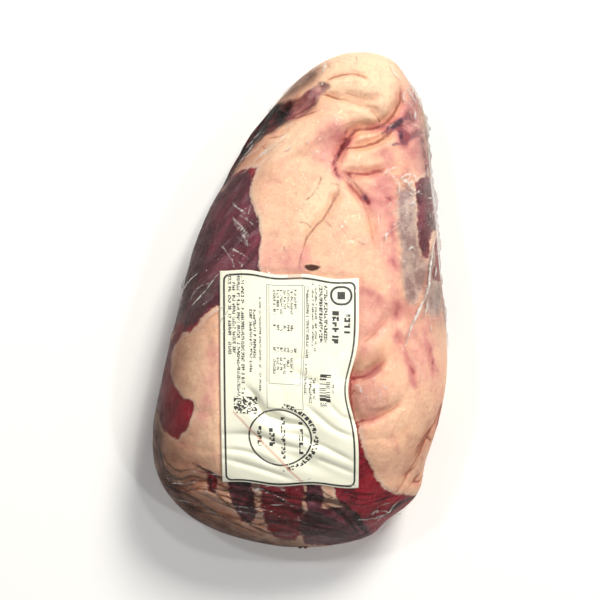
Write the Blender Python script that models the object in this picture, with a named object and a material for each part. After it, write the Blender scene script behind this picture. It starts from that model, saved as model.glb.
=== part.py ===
"""A boneless beef shank in a tight clear bag, with a paper label under the film, lying on its back.

The shank is one solid: the outer form of the filled bag. It is lofted along Y through sections whose
upper and lower halves are superellipses, and the folds, seams and swellings are then pressed into it.
The label is a thin sheet laid over its upper side.

+Y is towards the narrow end, +X to the right of someone who looks down with the narrow end away, and
+Z is up. The origin is on the floor, under the middle of the form.
"""

import math

import bpy
import numpy as np
from mathutils import Vector
from mathutils.bvhtree import BVHTree

MM = 0.001

# Sections from the narrow end to the wide end, in millimetres:
# place along Y, left and right edge in plan, highest point, lowest point (below 0 is a flat on the floor).
STATIONS = np.array([
    (178.5, 43.0, 43.0, 34.0, 34.0),
    (172.5, 19.0, 66.0, 57.0, 13.0),
    (160.0, 0.5, 76.5, 69.0, 4.0),
    (141.0, -18.5, 87.0, 78.0, -2.0),
    (116.0, -37.5, 92.0, 84.0, -3.0),
    (88.0, -53.5, 94.0, 90.0, -3.0),
    (60.0, -68.0, 97.5, 96.0, -3.0),
    (30.0, -79.0, 99.5, 101.0, -3.0),
    (0.0, -86.0, 102.5, 105.0, -3.0),
    (-30.0, -93.5, 105.0, 108.0, -3.0),
    (-60.0, -100.0, 104.0, 109.0, -3.0),
    (-90.0, -105.0, 98.0, 107.0, -3.0),
    (-118.0, -104.0, 89.5, 100.0, -3.0),
    (-141.0, -93.5, 83.5, 88.0, -1.0),
    (-159.0, -73.5, 63.0, 73.0, 5.0),
    (-171.5, -44.0, 48.0, 54.0, 14.0),
    (-178.5, 2.0, 2.0, 33.0, 33.0),
])
WIDEST_SHARE = 0.42        # height of a section's widest level, as a share of its full height
UPPER_POWER = 2.3          # 2 is an ellipse, more is boxier
LOWER_POWER = 2.8

# The mesh of the shank
ROWS = 69
UPPER_COLUMNS = 60
LOWER_COLUMNS = 24
FADE_TO_RIM = 0.42         # share of a section's upper height over which the relief dies out to its edge

# Rounded swellings of the upper side: height, centre x and y, reach across and along, turn in degrees
SWELLINGS = (
    (8.0, 48.0, 149.0, 24.0, 19.0, -20.0),      # fat knob at the narrow end
    (3.0, 12.0, 50.0, 26.0, 38.0, 15.0),        # middle fat
    (5.0, 53.0, -63.0, 18.0, 22.0, 0.0),        # cheek right of the label
    (5.0, 66.0, -103.0, 20.0, 18.0, 0.0),       # fat at the right of the wide end
    (4.0, -76.0, -62.0, 20.0, 42.0, 0.0),       # fat left of the label
    (-4.5, -54.0, 56.0, 16.0, 34.0, -18.0),     # bare muscle at the left
    (-5.0, 78.0, 42.0, 12.0, 34.0, 4.0),        # silver skin at the right
    (-3.5, 66.0, -12.0, 9.0, 9.0, 0.0),         # dimple where the folds meet
    (-6.0, 79.0, 131.0, 10.0, 13.0, 0.0),       # hollow beside the knob
)

# Folds of the upper side: depth (below 0 is a ridge), half width, and the route in plan
FOLDS = (
    (5.5, 4.4, ((23, 88), (26, 98), (31, 110), (40, 118), (51, 119), (60, 124), (67, 131), (71, 143), (71, 156))),
    (3.8, 3.8, ((31, 105), (41, 106), (51, 109), (60, 114), (68, 121))),
    (2.6, 4.0, ((31, 88), (44, 87), (61, 91))),
    (3.0, 4.2, ((29, 84), (38, 75), (46, 62), (50, 45), (55, 24))),
    (2.6, 4.5, ((26, 77), (20, 62), (6, 44), (0, 27))),
    (2.8, 3.4, ((14, 145), (21, 141), (31, 139), (41, 135), (51, 130), (57, 123))),
    (2.2, 3.2, ((26, 145), (36, 142), (44, 139), (51, 139), (58, 143))),
    (-5.5, 11.0, ((34, 127), (18, 120), (0, 109), (-17, 95), (-29, 80))),
    (7.5, 9.0, ((14, 140), (-3, 132), (-22, 120), (-36, 106), (-47, 88))),
    (2.6, 3.6, ((42, -29), (46, -27), (51, -22), (56, -17), (63, -11))),
    (3.4, 3.2, ((31, -52), (38, -52), (45, -50), (51, -47), (56, -43), (59, -38))),
    (3.0, 3.4, ((31, -82), (38, -83), (47, -81), (55, -79), (61, -76), (67, -72), (73, -67))),
    (1.4, 4.0, ((65, -20), (72, -32), (76, -44), (77, -60))),
    (3.6, 5.0, ((37, -38), (35, -54), (35, -70), (39, -88))),
    (-3.2, 4.5, ((98, 46), (91, 30), (87, 10), (79, -9), (74, -22))),
    (3.2, 5.0, ((-38, -61), (-28, -75), (-10, -87), (21, -97))),
    (2.4, 5.0, ((-52, -94), (-30, -95), (-6, -105), (30, -121))),
    (4.4, 5.0, ((-101, -122), (-84, -130), (-66, -125), (-30, -139), (2, -150), (34, -168))),
    (3.2, 5.0, ((-92, -143), (-65, -147), (-38, -155), (-6, -165))),
    (3.2, 5.0, ((-25, -132), (4, -136), (27, -147), (46, -162))),
    (2.8, 5.0, ((78, -107), (92, -88), (103, -74))),
    (3.5, 5.0, ((78, -128), (90, -126), (97, -121))),
)
FOLD_END_SHARE = 0.22      # share of a fold's route over which it runs out, at each end
FOLD_END_STRENGTH = 0.35   # share of its depth that is left at its very ends
ROUTE_STEPS = 12           # points read from each stretch of a route

# Seams between the muscles of the sides and the back: angle round the section at the narrow end and at
# the wide end (0 is the right edge, 90 the top, 180 the left edge), depth, half width in degrees
SEAMS = (
    (-52.0, -4.0, 2.6, 8.0),
    (8.0, -40.0, 1.6, 6.0),
    (214.0, 172.0, 2.6, 8.0),
    (178.0, 216.0, 1.6, 6.0),
)
SEAM_SWAY = 7.0            # how far a seam wanders from its straight course, in degrees
SEAM_SWAYS = 1.7           # sways from end to end
SEAM_RUNOUT = 0.1          # share of the length over which a seam runs out, at each end

# The paper label, about 150 x 100 as cut, as it lies in plan: its corners at the narrow end, then the others
LABEL_CORNERS = ((-55.0, 21.0), (40.0, 14.0), (-53.0, -124.5), (40.0, -128.0))
LABEL_TUCK = (7.5, -61.0, 22.0)     # how far its right edge dips into the fold beside it, where, reach
LABEL_THICKNESS = 0.5
LABEL_GAP = 0.4
LABEL_COLUMNS = 15
LABEL_ROWS = 22
LABEL_REST_REACH = 2.6     # the sheet rests on the highest point within this distance
ABOVE_ALL = 500.0          # a height from which the form is felt for

FAT_COLOUR = (0.82, 0.50, 0.36)
FAT_ROUGHNESS = 0.25
PAPER_COLOUR = (0.90, 0.88, 0.70)
PAPER_ROUGHNESS = 0.45


def clear_objects():
    for item in list(bpy.data.objects):
        bpy.data.objects.remove(item, do_unlink=True)


def smooth_step(low, high, value):
    share = np.clip((value - low) / (high - low), 0.0, 1.0)
    return share * share * (3.0 - 2.0 * share)


def closed_curve(values, at):
    """A smooth closed curve through values, read at places counted in values."""
    count = len(values)
    one = np.eye(count)
    turns = 4.0 * one + np.roll(one, 1, 0) + np.roll(one, -1, 0)
    slopes = np.linalg.solve(turns, 3.0 * (np.roll(values, -1) - np.roll(values, 1)))
    first = np.floor(at).astype(int) % count
    second = (first + 1) % count
    f = at - np.floor(at)
    start = values[first] * (1.0 + 2.0 * f) * (1.0 - f) ** 2 + slopes[first] * f * (1.0 - f) ** 2
    end = values[second] * f * f * (3.0 - 2.0 * f) + slopes[second] * f * f * (f - 1.0)
    return start + end


def opposite_edges(one_side, other_side, along):
    """Two edges that meet in a round tip at each end, as the two sides of one closed curve."""
    loop = np.concatenate([one_side, other_side[-2:0:-1]])
    last = len(one_side) - 1
    return closed_curve(loop, along * last), closed_curve(loop, (2 * last - along * last) % (2 * last))


def sections(along):
    """Place along Y, left, right, top and bottom of the section at each share of the length."""
    place, _ = opposite_edges(STATIONS[:, 0], STATIONS[:, 0], along)
    left, right = opposite_edges(STATIONS[:, 1], STATIONS[:, 2], along)
    top, bottom = opposite_edges(STATIONS[:, 3], STATIONS[:, 4], along)
    return place, left, right, top, bottom


def even_rows(count):
    """Shares of the length whose sections are evenly spaced along the outline in plan."""
    fine = np.linspace(0.0, 1.0, 2001)
    place, left, right, _, _ = sections(fine)
    steps = np.hypot(np.diff(place), 0.5 * np.diff(right - left))
    walked = np.concatenate([[0.0], np.cumsum(steps)])
    return np.interp(np.linspace(0.0, walked[-1], count), walked, fine)


def route_points(corners):
    """A smooth curve through the corners of a route, and each of its points' share of the way."""
    ends = np.array(corners, float)
    chain = np.vstack([2.0 * ends[0] - ends[1], ends, 2.0 * ends[-1] - ends[-2]])
    t = np.linspace(0.0, 1.0, ROUTE_STEPS, endpoint=False)[:, None]
    pieces = []
    for before, start, end, after in zip(chain, chain[1:], chain[2:], chain[3:]):
        bend = 2.0 * before - 5.0 * start + 4.0 * end - after
        twist = 3.0 * (start - end) + after - before
        pieces.append(start + 0.5 * t * (end - before + t * (bend + t * twist)))
    points = np.vstack(pieces + [ends[-1:]])
    return points, np.linspace(0.0, 1.0, len(points))


def fold_depth(x, y, depth, half_width, corners):
    """A rounded groove along a route, which runs out at both ends."""
    points, share = route_points(corners)
    away = np.hypot(x[..., None] - points[:, 0], y[..., None] - points[:, 1])
    nearest = away.argmin(axis=-1)
    runout = smooth_step(0.0, FOLD_END_SHARE, np.minimum(share, 1.0 - share))[nearest]
    strength = FOLD_END_STRENGTH + (1.0 - FOLD_END_STRENGTH) * runout
    return depth * strength * np.exp(-(away.min(axis=-1) / half_width) ** 2)


def swelling_height(x, y, height, centre_x, centre_y, across, along, turn):
    angle = math.radians(turn)
    u = (x - centre_x) * math.cos(angle) + (y - centre_y) * math.sin(angle)
    v = (y - centre_y) * math.cos(angle) - (x - centre_x) * math.sin(angle)
    return height * np.exp(-(u / across) ** 2 - (v / along) ** 2)


def relief(x, y):
    """How far the upper side stands above its plain section at a point in plan."""
    height = np.zeros_like(x)
    for swelling in SWELLINGS:
        height += swelling_height(x, y, *swelling)
    for depth, half_width, corners in FOLDS:
        height -= fold_depth(x, y, depth, half_width, corners)
    return height


def seam_depth(angle, along):
    """How far the sides are drawn in where two muscles meet."""
    depth = np.zeros_like(angle)
    for start, end, deep, half_width in SEAMS:
        centre = start + (end - start) * along + SEAM_SWAY * np.sin(SEAM_SWAYS * math.tau * along + start)
        away = (np.degrees(angle) - centre + 180.0) % 360.0 - 180.0
        depth += deep * np.exp(-(away / half_width) ** 2)
    return depth * smooth_step(0.0, SEAM_RUNOUT, np.minimum(along, 1.0 - along))


def shank_grid():
    """Points of the rows between the two tips, and the two tips, in millimetres."""
    along = even_rows(ROWS + 2)
    place, left, right, top, bottom = (values[:, None] for values in sections(along))
    upper = np.linspace(0.0, math.pi, UPPER_COLUMNS, endpoint=False)
    lower = np.linspace(math.pi, math.tau, LOWER_COLUMNS, endpoint=False)
    angle = np.concatenate([upper, lower])[None, :]
    power = np.where(angle <= math.pi, UPPER_POWER, LOWER_POWER)
    across = np.sign(np.cos(angle)) * np.abs(np.cos(angle)) ** (2.0 / power)
    rise = np.sign(np.sin(angle)) * np.abs(np.sin(angle)) ** (2.0 / power)
    rim = bottom + WIDEST_SHARE * (top - bottom)
    x = 0.5 * (left + right) + 0.5 * (right - left) * across
    y = np.broadcast_to(place, x.shape)
    z = rim + np.where(rise > 0.0, top - rim, rim - bottom) * rise
    z = z + relief(x, y) * smooth_step(0.0, FADE_TO_RIM, rise)
    drawn_in = seam_depth(np.broadcast_to(angle, x.shape), np.broadcast_to(along[:, None], x.shape))
    x = x - drawn_in * across
    z = np.maximum(z - drawn_in * rise, 0.0)
    points = np.stack([x, y, z], axis=-1)
    return points[1:-1], points[0, 0], points[-1, 0]


def ring_faces(rows, columns):
    """Quads between neighbouring rings, and the fans that close both tips."""
    faces = []
    near_tip = rows * columns
    far_tip = near_tip + 1
    for column in range(columns):
        beside = (column + 1) % columns
        for row in range(rows - 1):
            here = row * columns
            below = here + columns
            faces.append((here + column, here + beside, below + beside, below + column))
        last = (rows - 1) * columns
        faces.append((near_tip, beside, column))
        faces.append((far_tip, last + column, last + beside))
    return faces


def finished(name, points, faces, colour, roughness):
    """An object from points in millimetres, smooth, outward facing and with its own material."""
    mesh = bpy.data.meshes.new(name)
    mesh.from_pydata((points * MM).tolist(), [], faces)
    mesh.validate()
    mesh.shade_smooth()
    material = bpy.data.materials.new(name)
    material.use_nodes = True
    shader = material.node_tree.nodes["Principled BSDF"]
    shader.inputs["Base Color"].default_value = (*colour, 1.0)
    shader.inputs["Roughness"].default_value = roughness
    shader.inputs["Metallic"].default_value = 0.0
    mesh.materials.append(material)
    item = bpy.data.objects.new(name, mesh)
    bpy.context.collection.objects.link(item)
    return item


def make_shank():
    grid, near_tip, far_tip = shank_grid()
    rows, columns, _ = grid.shape
    points = np.vstack([grid.reshape(-1, 3), near_tip, far_tip])
    return finished("shank", points, ring_faces(rows, columns), FAT_COLOUR, FAT_ROUGHNESS)


def label_plan():
    """Where the sheet's points lie in plan: a grid between its corners, with its right edge tucked in."""
    top_left, top_right, low_left, low_right = (np.array(corner) for corner in LABEL_CORNERS)
    across = np.linspace(0.0, 1.0, LABEL_COLUMNS + 1)[None, :, None]
    down = np.linspace(0.0, 1.0, LABEL_ROWS + 1)[:, None, None]
    upper = top_left + (top_right - top_left) * across
    lower = low_left + (low_right - low_left) * across
    plan = upper + (lower - upper) * down
    tuck, place, reach = LABEL_TUCK
    dip = tuck * np.exp(-((plan[..., 1] - place) / reach) ** 2)
    plan[..., 0] -= dip * np.broadcast_to(across[..., 0], dip.shape) ** 3
    return plan


def resting_height(tree, x, y):
    """The highest point of the form within the sheet's stiffness of a point in plan."""
    highest = 0.0
    for step_x in (-1, 0, 1):
        for step_y in (-1, 0, 1):
            felt_x = x + step_x * LABEL_REST_REACH
            felt_y = y + step_y * LABEL_REST_REACH
            above = Vector((felt_x, felt_y, ABOVE_ALL)) * MM
            hit = tree.ray_cast(above, Vector((0.0, 0.0, -1.0)))[0]
            highest = max(highest, hit.z / MM)
    return highest


def make_label(shank):
    """A thin closed sheet over the shank: its under face, its upper face and the rim between them."""
    vertices = [vertex.co for vertex in shank.data.vertices]
    tree = BVHTree.FromPolygons(vertices, [tuple(face.vertices) for face in shank.data.polygons])
    plan = label_plan()
    rows, columns, _ = plan.shape
    under = np.array([(x, y, resting_height(tree, x, y) + LABEL_GAP) for x, y in plan.reshape(-1, 2)])
    upper = under + (0.0, 0.0, LABEL_THICKNESS)
    count = rows * columns
    faces = []
    for row in range(rows - 1):
        for column in range(columns - 1):
            a = row * columns + column
            b, c, d = a + 1, a + columns + 1, a + columns
            faces.append((a, b, c, d))
            faces.append((a + count, d + count, c + count, b + count))
    top_edge = list(range(columns))
    right_edge = [row * columns + columns - 1 for row in range(rows)]
    low_edge = [(rows - 1) * columns + column for column in reversed(range(columns))]
    left_edge = [row * columns for row in reversed(range(rows))]
    border = top_edge[:-1] + right_edge[:-1] + low_edge[:-1] + left_edge[:-1]
    for here, beside in zip(border, border[1:] + border[:1]):
        faces.append((beside, here, here + count, beside + count))
    return finished("label", np.vstack([under, upper]), faces, PAPER_COLOUR, PAPER_ROUGHNESS)


def main():
    clear_objects()
    shank = make_shank()
    make_label(shank)


main()
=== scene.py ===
"""Looks of a boneless beef shank in a tight clear bag, with a paper label under the film.

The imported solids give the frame. Three pieces dress it, each a surface worked out on a grid:
meat         the fat and the lean, with their creases, inside the bag
label_sheet  the printed sheet on the meat
film         the clear bag, shrunk over both, with its wrinkles
Lengths in the tables are millimetres in plan: X to the right, Y towards the narrow end, Z up. Routes and
outlines are X and Y of one corner after another.
"""

import math
from functools import partialmethod
from types import SimpleNamespace

import bpy
import numpy as np
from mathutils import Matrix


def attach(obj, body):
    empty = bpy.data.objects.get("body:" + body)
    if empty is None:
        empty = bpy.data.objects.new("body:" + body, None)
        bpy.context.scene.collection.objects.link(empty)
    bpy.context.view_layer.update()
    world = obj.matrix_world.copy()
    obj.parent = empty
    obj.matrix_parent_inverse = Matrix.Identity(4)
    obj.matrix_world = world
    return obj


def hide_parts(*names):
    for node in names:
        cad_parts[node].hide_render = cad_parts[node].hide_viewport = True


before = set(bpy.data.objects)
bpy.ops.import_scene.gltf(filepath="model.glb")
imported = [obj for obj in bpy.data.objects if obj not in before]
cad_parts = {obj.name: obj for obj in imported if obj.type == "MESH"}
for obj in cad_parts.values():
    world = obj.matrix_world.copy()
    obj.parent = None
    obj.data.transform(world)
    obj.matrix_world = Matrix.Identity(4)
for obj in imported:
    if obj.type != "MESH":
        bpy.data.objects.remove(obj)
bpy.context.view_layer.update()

bl_info = {
    "name": "Bagged beef shank",
    "version": (1, 0, 0),
    "blender": (4, 5, 0),
    "location": "3D View > Sidebar > Shank",
    "description": "Meat, label, film and stage of a beef shank in a clear bag",
    "category": "Object",
}

MM = 0.001

# ---- The form, the same as the solid's ----
# Sections from the narrow end to the wide end: place along Y, left and right edge in plan, highest point,
# lowest point (below 0 is a flat)
STATIONS = np.array([
    (178.5, 43, 43, 34, 34),
    (172.5, 19, 66, 57, 13),
    (160, 0.5, 76.5, 69, 4),
    (141, -18.5, 87, 78, -2),
    (116, -37.5, 92, 84, -3),
    (88, -53.5, 94, 90, -3),
    (60, -68, 97.5, 96, -3),
    (30, -79, 99.5, 101, -3),
    (0, -86, 102.5, 105, -3),
    (-30, -93.5, 105, 108, -3),
    (-60, -100, 104, 109, -3),
    (-90, -105, 98, 107, -3),
    (-118, -104, 89.5, 100, -3),
    (-141, -93.5, 83.5, 88, -1),
    (-159, -73.5, 63, 73, 5),
    (-171.5, -44, 48, 54, 14),
    (-178.5, 2, 2, 33, 33),
])
WIDEST_SHARE = 0.42
UPPER_POWER = 2.3
LOWER_POWER = 2.8
FADE_TO_RIM = 0.42

# Rounded swellings of the upper side: height, centre x and y, reach across and along, turn in degrees
SWELLINGS = (
    (8, 48, 149, 24, 19, -20),
    (3, 12, 50, 26, 38, 15),
    (5, 53, -63, 18, 22, 0),
    (5, 66, -103, 20, 18, 0),
    (4, -76, -62, 20, 42, 0),
    (-4.5, -54, 56, 16, 34, -18),
    (-5, 78, 42, 12, 34, 4),
    (-3.5, 66, -12, 9, 9, 0),
    (-6, 79, 131, 10, 13, 0),
)

# Folds of the upper side: depth (below 0 is a ridge), half width, how red with blood and how much brown
# painted shade they get, route
FOLDS = (
    (5.5, 4.4, 0.12, 0.45, (23,88, 26,98, 31,110, 40,118, 51,119, 60,124, 67,131, 71,143, 71,156)),
    (3.8, 3.8, 0, 0.9, (31,105, 41,106, 51,109, 60,114, 68,121)),
    (2.6, 4, 0.1, 0.45, (31,88, 44,87, 61,91)),
    (3, 4.2, 0.1, 0.15, (29,84, 38,75, 46,62, 50,45, 55,24)),
    (2.6, 4.5, 0.1, 0.1, (26,77, 20,62, 6,44, 0,27)),
    (2.8, 3.4, 0, 0.3, (14,145, 21,141, 31,139, 41,135, 51,130, 57,123)),
    (2.2, 3.2, 0, 0.3, (26,145, 36,142, 44,139, 51,139, 58,143)),
    (-5.5, 11, 0, 0, (34,127, 18,120, 0,109, -17,95, -29,80)),
    (7.5, 9, 0.1, 0.3, (14,140, -3,132, -22,120, -36,106, -47,88)),
    (2.6, 3.6, 0.15, 0.35, (42,-29, 46,-27, 51,-22, 56,-17, 63,-11)),
    (3.4, 3.2, 0.4, 0.2, (31,-52, 38,-52, 45,-50, 51,-47, 56,-43, 59,-38)),
    (3, 3.4, 0.3, 0.2, (31,-82, 38,-83, 47,-81, 55,-79, 61,-76, 67,-72, 73,-67)),
    (1.4, 4, 0.15, 0.1, (65,-20, 72,-32, 76,-44, 77,-60)),
    (3.6, 5, 0.3, 0.4, (37,-38, 35,-54, 35,-70, 39,-88)),
    (-3.2, 4.5, 0, 0, (98,46, 91,30, 87,10, 79,-9, 74,-22)),
    (3.2, 5, 0, 0, (-38,-61, -28,-75, -10,-87, 21,-97)),
    (2.4, 5, 0, 0, (-52,-94, -30,-95, -6,-105, 30,-121)),
    (4.4, 5, 0, 0.6, (-101,-122, -84,-130, -66,-125, -30,-139, 2,-150, 34,-168)),
    (3.2, 5, 0, 0.45, (-92,-143, -65,-147, -38,-155, -6,-165)),
    (3.2, 5, 0.1, 0.45, (-25,-132, 4,-136, 27,-147, 46,-162)),
    (2.8, 5, 0.1, 0.6, (78,-107, 92,-88, 103,-74)),
    (3.5, 5, 0.3, 0.5, (78,-128, 90,-126, 97,-121)),
)
FOLD_END_SHARE = 0.22
FOLD_END_STRENGTH = 0.35
GROOVE_REACH = 4  # a fold is worked out this many half widths to each side
ROUTE_STEPS = 12

# Seams between the muscles of the sides: angle at the narrow and at the wide end, depth, half width
SEAMS = (
    (-52, -4, 2.6, 8),
    (8, -40, 1.6, 6),
    (214, 172, 2.6, 8),
    (178, 216, 1.6, 6),
)
SEAM_SWAY = 7
SEAM_SWAYS = 1.7
SEAM_RUNOUT = 0.1

# ---- What only the meat has: finer creases, patches of lean and the colours of the fat ----
# depth, half width, how red, how much brown painted shade, route
FINE_FOLDS = (
    (2.2, 2.2, 0, 0.9, (16,152, 23,156, 35,158, 43,156, 49,153)),
    (1.1, 1.6, 0, 0, (20,142, 28,138, 37,134)),
    (1.2, 1.8, 0, 0, (51,134, 56,129, 60,123)),
    (1.3, 1.8, 0.35, 0.15, (24,91, 32,88, 41,87, 49,88, 57,91, 63,92)),
    (1.2, 1.6, 0.4, 0.1, (24,88, 31,83, 37,77, 42,71, 47,68, 54,67)),
    (1.2, 1.6, 0.3, 0.1, (33,87, 42,81, 53,75, 61,70, 67,68)),
    (0.8, 1.4, 0, 0, (29,87, 33,84, 35,81)),
    (1.2, 2.2, 0.1, 0.3, (-6,129, 1,130, 10,131, 19,132, 32,134)),
    (0.9, 2, 0, 0, (21,80, 26,77, 24,70, 18,61, 9,48, 3,38, -1,24)),
    (0.7, 2, 0.1, 0.1, (24,168, 30,164, 38,168, 39,173)),
    (1, 2.2, 0.2, 0.2, (-34,95, -29,99, -25,105, -27,108)),
    (0.8, 1.8, 0, 0.2, (-30,96, -24,101, -17,106, -11,111, -5,115)),
    (0.8, 1.8, 0, 0.2, (-21,114, -15,115, -7,118, 0,120)),
    (0.8, 2, 0, 0.3, (-10,93, -3,94, 6,92, 14,88)),
    (0.7, 1.6, 0.2, 0.2, (14,96, 17,90, 22,86)),
    (0.7, 1.8, 0.1, 0.2, (38,98, 48,100, 60,98)),
    (0.7, 1.8, 0.1, 0.2, (20,60, 28,46, 30,30)),
    (1, 2.4, 0.2, 0.1, (40,97, 52,98, 64,104, 72,104)),
    (1, 2.6, 0.1, 0.1, (56,60, 60,44, 60,30, 58,14)),
    (1.1, 2.4, 0.1, 0.2, (42,8, 50,-4, 48,-16, 44,-24)),
    (1, 2.4, 0.1, 0.2, (70,-24, 82,-30, 90,-42, 92,-58)),
    (1.2, 2.6, 0, 0.3, (52,-92, 62,-96, 72,-90, 80,-80)),
    (1, 2.6, 0, 0.3, (60,-126, 72,-122, 82,-116, 90,-106)),
    (1, 3, 0.1, 0.2, (-90,-60, -80,-72, -66,-78, -56,-76)),
    (1.1, 3, 0, 0.4, (-98,-84, -86,-96, -70,-102, -56,-104)),
    (1.3, 3, 0, 0.6, (-101,-100, -90,-110, -74,-113, -56,-114)),
    (1, 2.4, 0, 0.2, (-66,-20, -60,-36, -62,-52, -58,-66)),
    (1.2, 1.6, 0.1, 0.1, (-12,96, 1,98, 13,95)),
    (0.9, 1.4, 0.35, 0.1, (66,3, 68,-5, 66,-12, 67,-19, 71,-24)),
    (0.9, 1.4, 0.35, 0.1, (66,-19, 68,-26, 73,-35, 76,-46, 80,-57, 84,-67)),
    (0.8, 1.4, 0.4, 0.1, (73,-20, 79,-25, 85,-34, 90,-41, 95,-50, 100,-62)),
    (0.7, 1.4, 0.3, 0, (66,-19, 66,-26, 64,-33, 60,-39)),
    (0.6, 1.4, 0.3, 0, (66,-25, 67,-36, 70,-47, 73,-54)),
    (0.6, 1.4, 0.1, 0.2, (44,-36, 50,-38, 56,-36, 62,-28)),
    (0.7, 1.6, 0, 0.2, (36,-60, 42,-66, 44,-74, 42,-79)),
    (1.2, 2, 0, 0.5, (101,-68, 96,-92, 86,-99, 78,-111)),
    (1.6, 2.2, 0, 0.6, (92,-88, 87,-99, 79,-115, 69,-131, 65,-136)),
    (1.4, 2, 0, 0.5, (98,-108, 94,-114, 84,-122, 75,-133)),
    (0.8, 2.4, 0.1, 0, (69,-82, 73,-96, 70,-110, 63,-124)),
    (1.4, 1.6, 0, 0.9, (-100,-126, -86,-134, -70,-131, -53,-135, -30,-144, 1,-154, 30,-170)),
    (1.2, 1.6, 0, 0.5, (-97,-133, -80,-140, -56,-141, -30,-149, 0,-159, 28,-172)),
    (1.2, 1.6, 0, 0.4, (-51,-130, -25,-137, 4,-143, 36,-156)),
    (1.2, 1.6, 0, 0.8, (-78,-118, -63,-121, -53,-125, -43,-127, -30,-129)),
    (1.2, 1.6, 0, 0.4, (-70,-154, -41,-161, -8,-170)),
    (1, 1.6, 0.8, 0.2, (-94,-45, -90,-33, -84,-26, -78,-22)),
    (0.8, 1.6, 0.4, 0.1, (84,110, 88,97, 90,88)),
    (0.8, 1.6, 0.5, 0, (88,106, 90,92, 90,84)),
)
MEAT_FOLD_DEPTH = 1.3
MEAT_FOLD_WIDTH = 0.85  # the meat's creases are tighter than the folds of the form
CUT_SHARE = 0.5  # share of a fold's depth that is a sharp-bottomed V
LEAN_OVER = 0.45  # how much wider that V is to the left of the route's way, and narrower to its right
CUT_ROUND = 0.35  # rounding of the V's bottom, in half widths of the fold
CUT_WIDTH = 0.75  # reach of that V, as a share of the fold's half width
CUT_RUNOUT = 1.54  # how much sooner than the fold the V runs out at its ends

# Vessels and dark streaks that show through the fat: half width, route
VESSELS = (
    (2, (65,124, 68,123, 72,122)),
    (0.65, (21,80, 27,78, 25,71, 21,64, 16,56, 9,48, 4,41, 1,31, -1,22)),
    (0.7, (14,84, 11,76, 5,69)),
    (1.3, (14,84, 14,82)),
    (1.2, (6,71, 4,69)),
    (0.5, (30,89, 34,82)),
    (1, (-3,75, -3,73)),
    (0.9, (-11,36, -11,34)),
    (0.5, (37,42, 39,41, 44,38)),
    (0.6, (19,167, 21,163)),
    (0.5, (39,173, 40,169, 39,166)),
    (0.4, (4,134, 2,131)),
    (0.4, (16,56, 21,50, 24,42)),
    (0.3, (9,48, 5,52, -2,54)),
    (0.9, (43,71, 46,69)),
    (0.4, (34,88, 38,80, 43,71)),
)

# Dark clots: strength, centre x and y, reach across and along, turn
CLOTS = (
    (2.2, 68, 123, 4.4, 2.2, 30),
    (1.1, 71.8, 114.5, 1.8, 5.5, 5),
    (0.7, 67, 108.5, 5, 1.4, 8),
    (0.5, 80, 114.5, 6, 1.3, 38),
    (0.8, 62, 118.5, 6, 1.7, 40),
    (0.6, 76, 128, 6, 1.7, 20),
    (0.5, 60, 121.5, 5, 1.2, -8),
    (1.1, 44.5, 70, 2, 1.4, -20),
)
# Fat that is browner or greyer than the rest, with painted shade where it lies in shadow: strength, centre x
# and y, reach across and along, turn
BROWNED_AND_SHADED = (
    (0.9, 64, -146, 22, 11, 20),
    (0.5, 83, 20, 8, 16, 0),
    (0.35, 46, -66, 18, 18, 0),
    (0.75, 49, -40, 14, 11, 30),
    (0.45, 74, -104, 18, 22, -10),
    (0.75, 0, 156, 22, 9, 42),
    (0.5, 12, 166, 12, 6, 42),
    (0.45, 48, -112, 6, 22, 12),
    (0.8, 94, 8, 9, 30, 0),
    (0.45, 78, 36, 10, 36, 0),
    (0.6, 10, -166, 60, 13, -6),
    (0.35, 84, -100, 12, 24, -10),
    (0.2, 70, 100, 20, 16, 0),
    (0.55, 76, 3, 11, 15, 0),
    (0.35, 76, 42, 8, 22, 0),
    (0.25, 46, 2, 12, 10, 0),
    (0.5, 42, -128, 10, 10, 0),
    (0.2, 92, -72, 10, 26, 0),
)
# Blood that has soaked in: strength, centre x and y, reach across and along, turn
SOAKED = (
    (1.5, 67, 122, 7, 4.5, 30),
    (1.5, 73, 114, 4.5, 8, 0),
    (0.9, 82, 117, 7, 3, 35),
    (0.8, 78, 131, 6, 8, 10),
    (0.6, 80, 104, 5, 6, 0),
    (0.6, 82, 142, 4, 9, 10),
    (0.3, 30, 106, 4, 8, -30),
    (0.35, 22, 114, 7, 8, 0),
    (0.7, 59, 68, 7, 4, -12),
    (0.3, 60, 96, 6, 12, 8),
    (0.3, 56, 80, 6, 5, 0),
    (0.35, 64, 50, 4, 14, 0),
    (0.35, 50, 2, 10, 8, 30),
    (0.3, 64, -8, 6, 8, 0),
)

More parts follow.
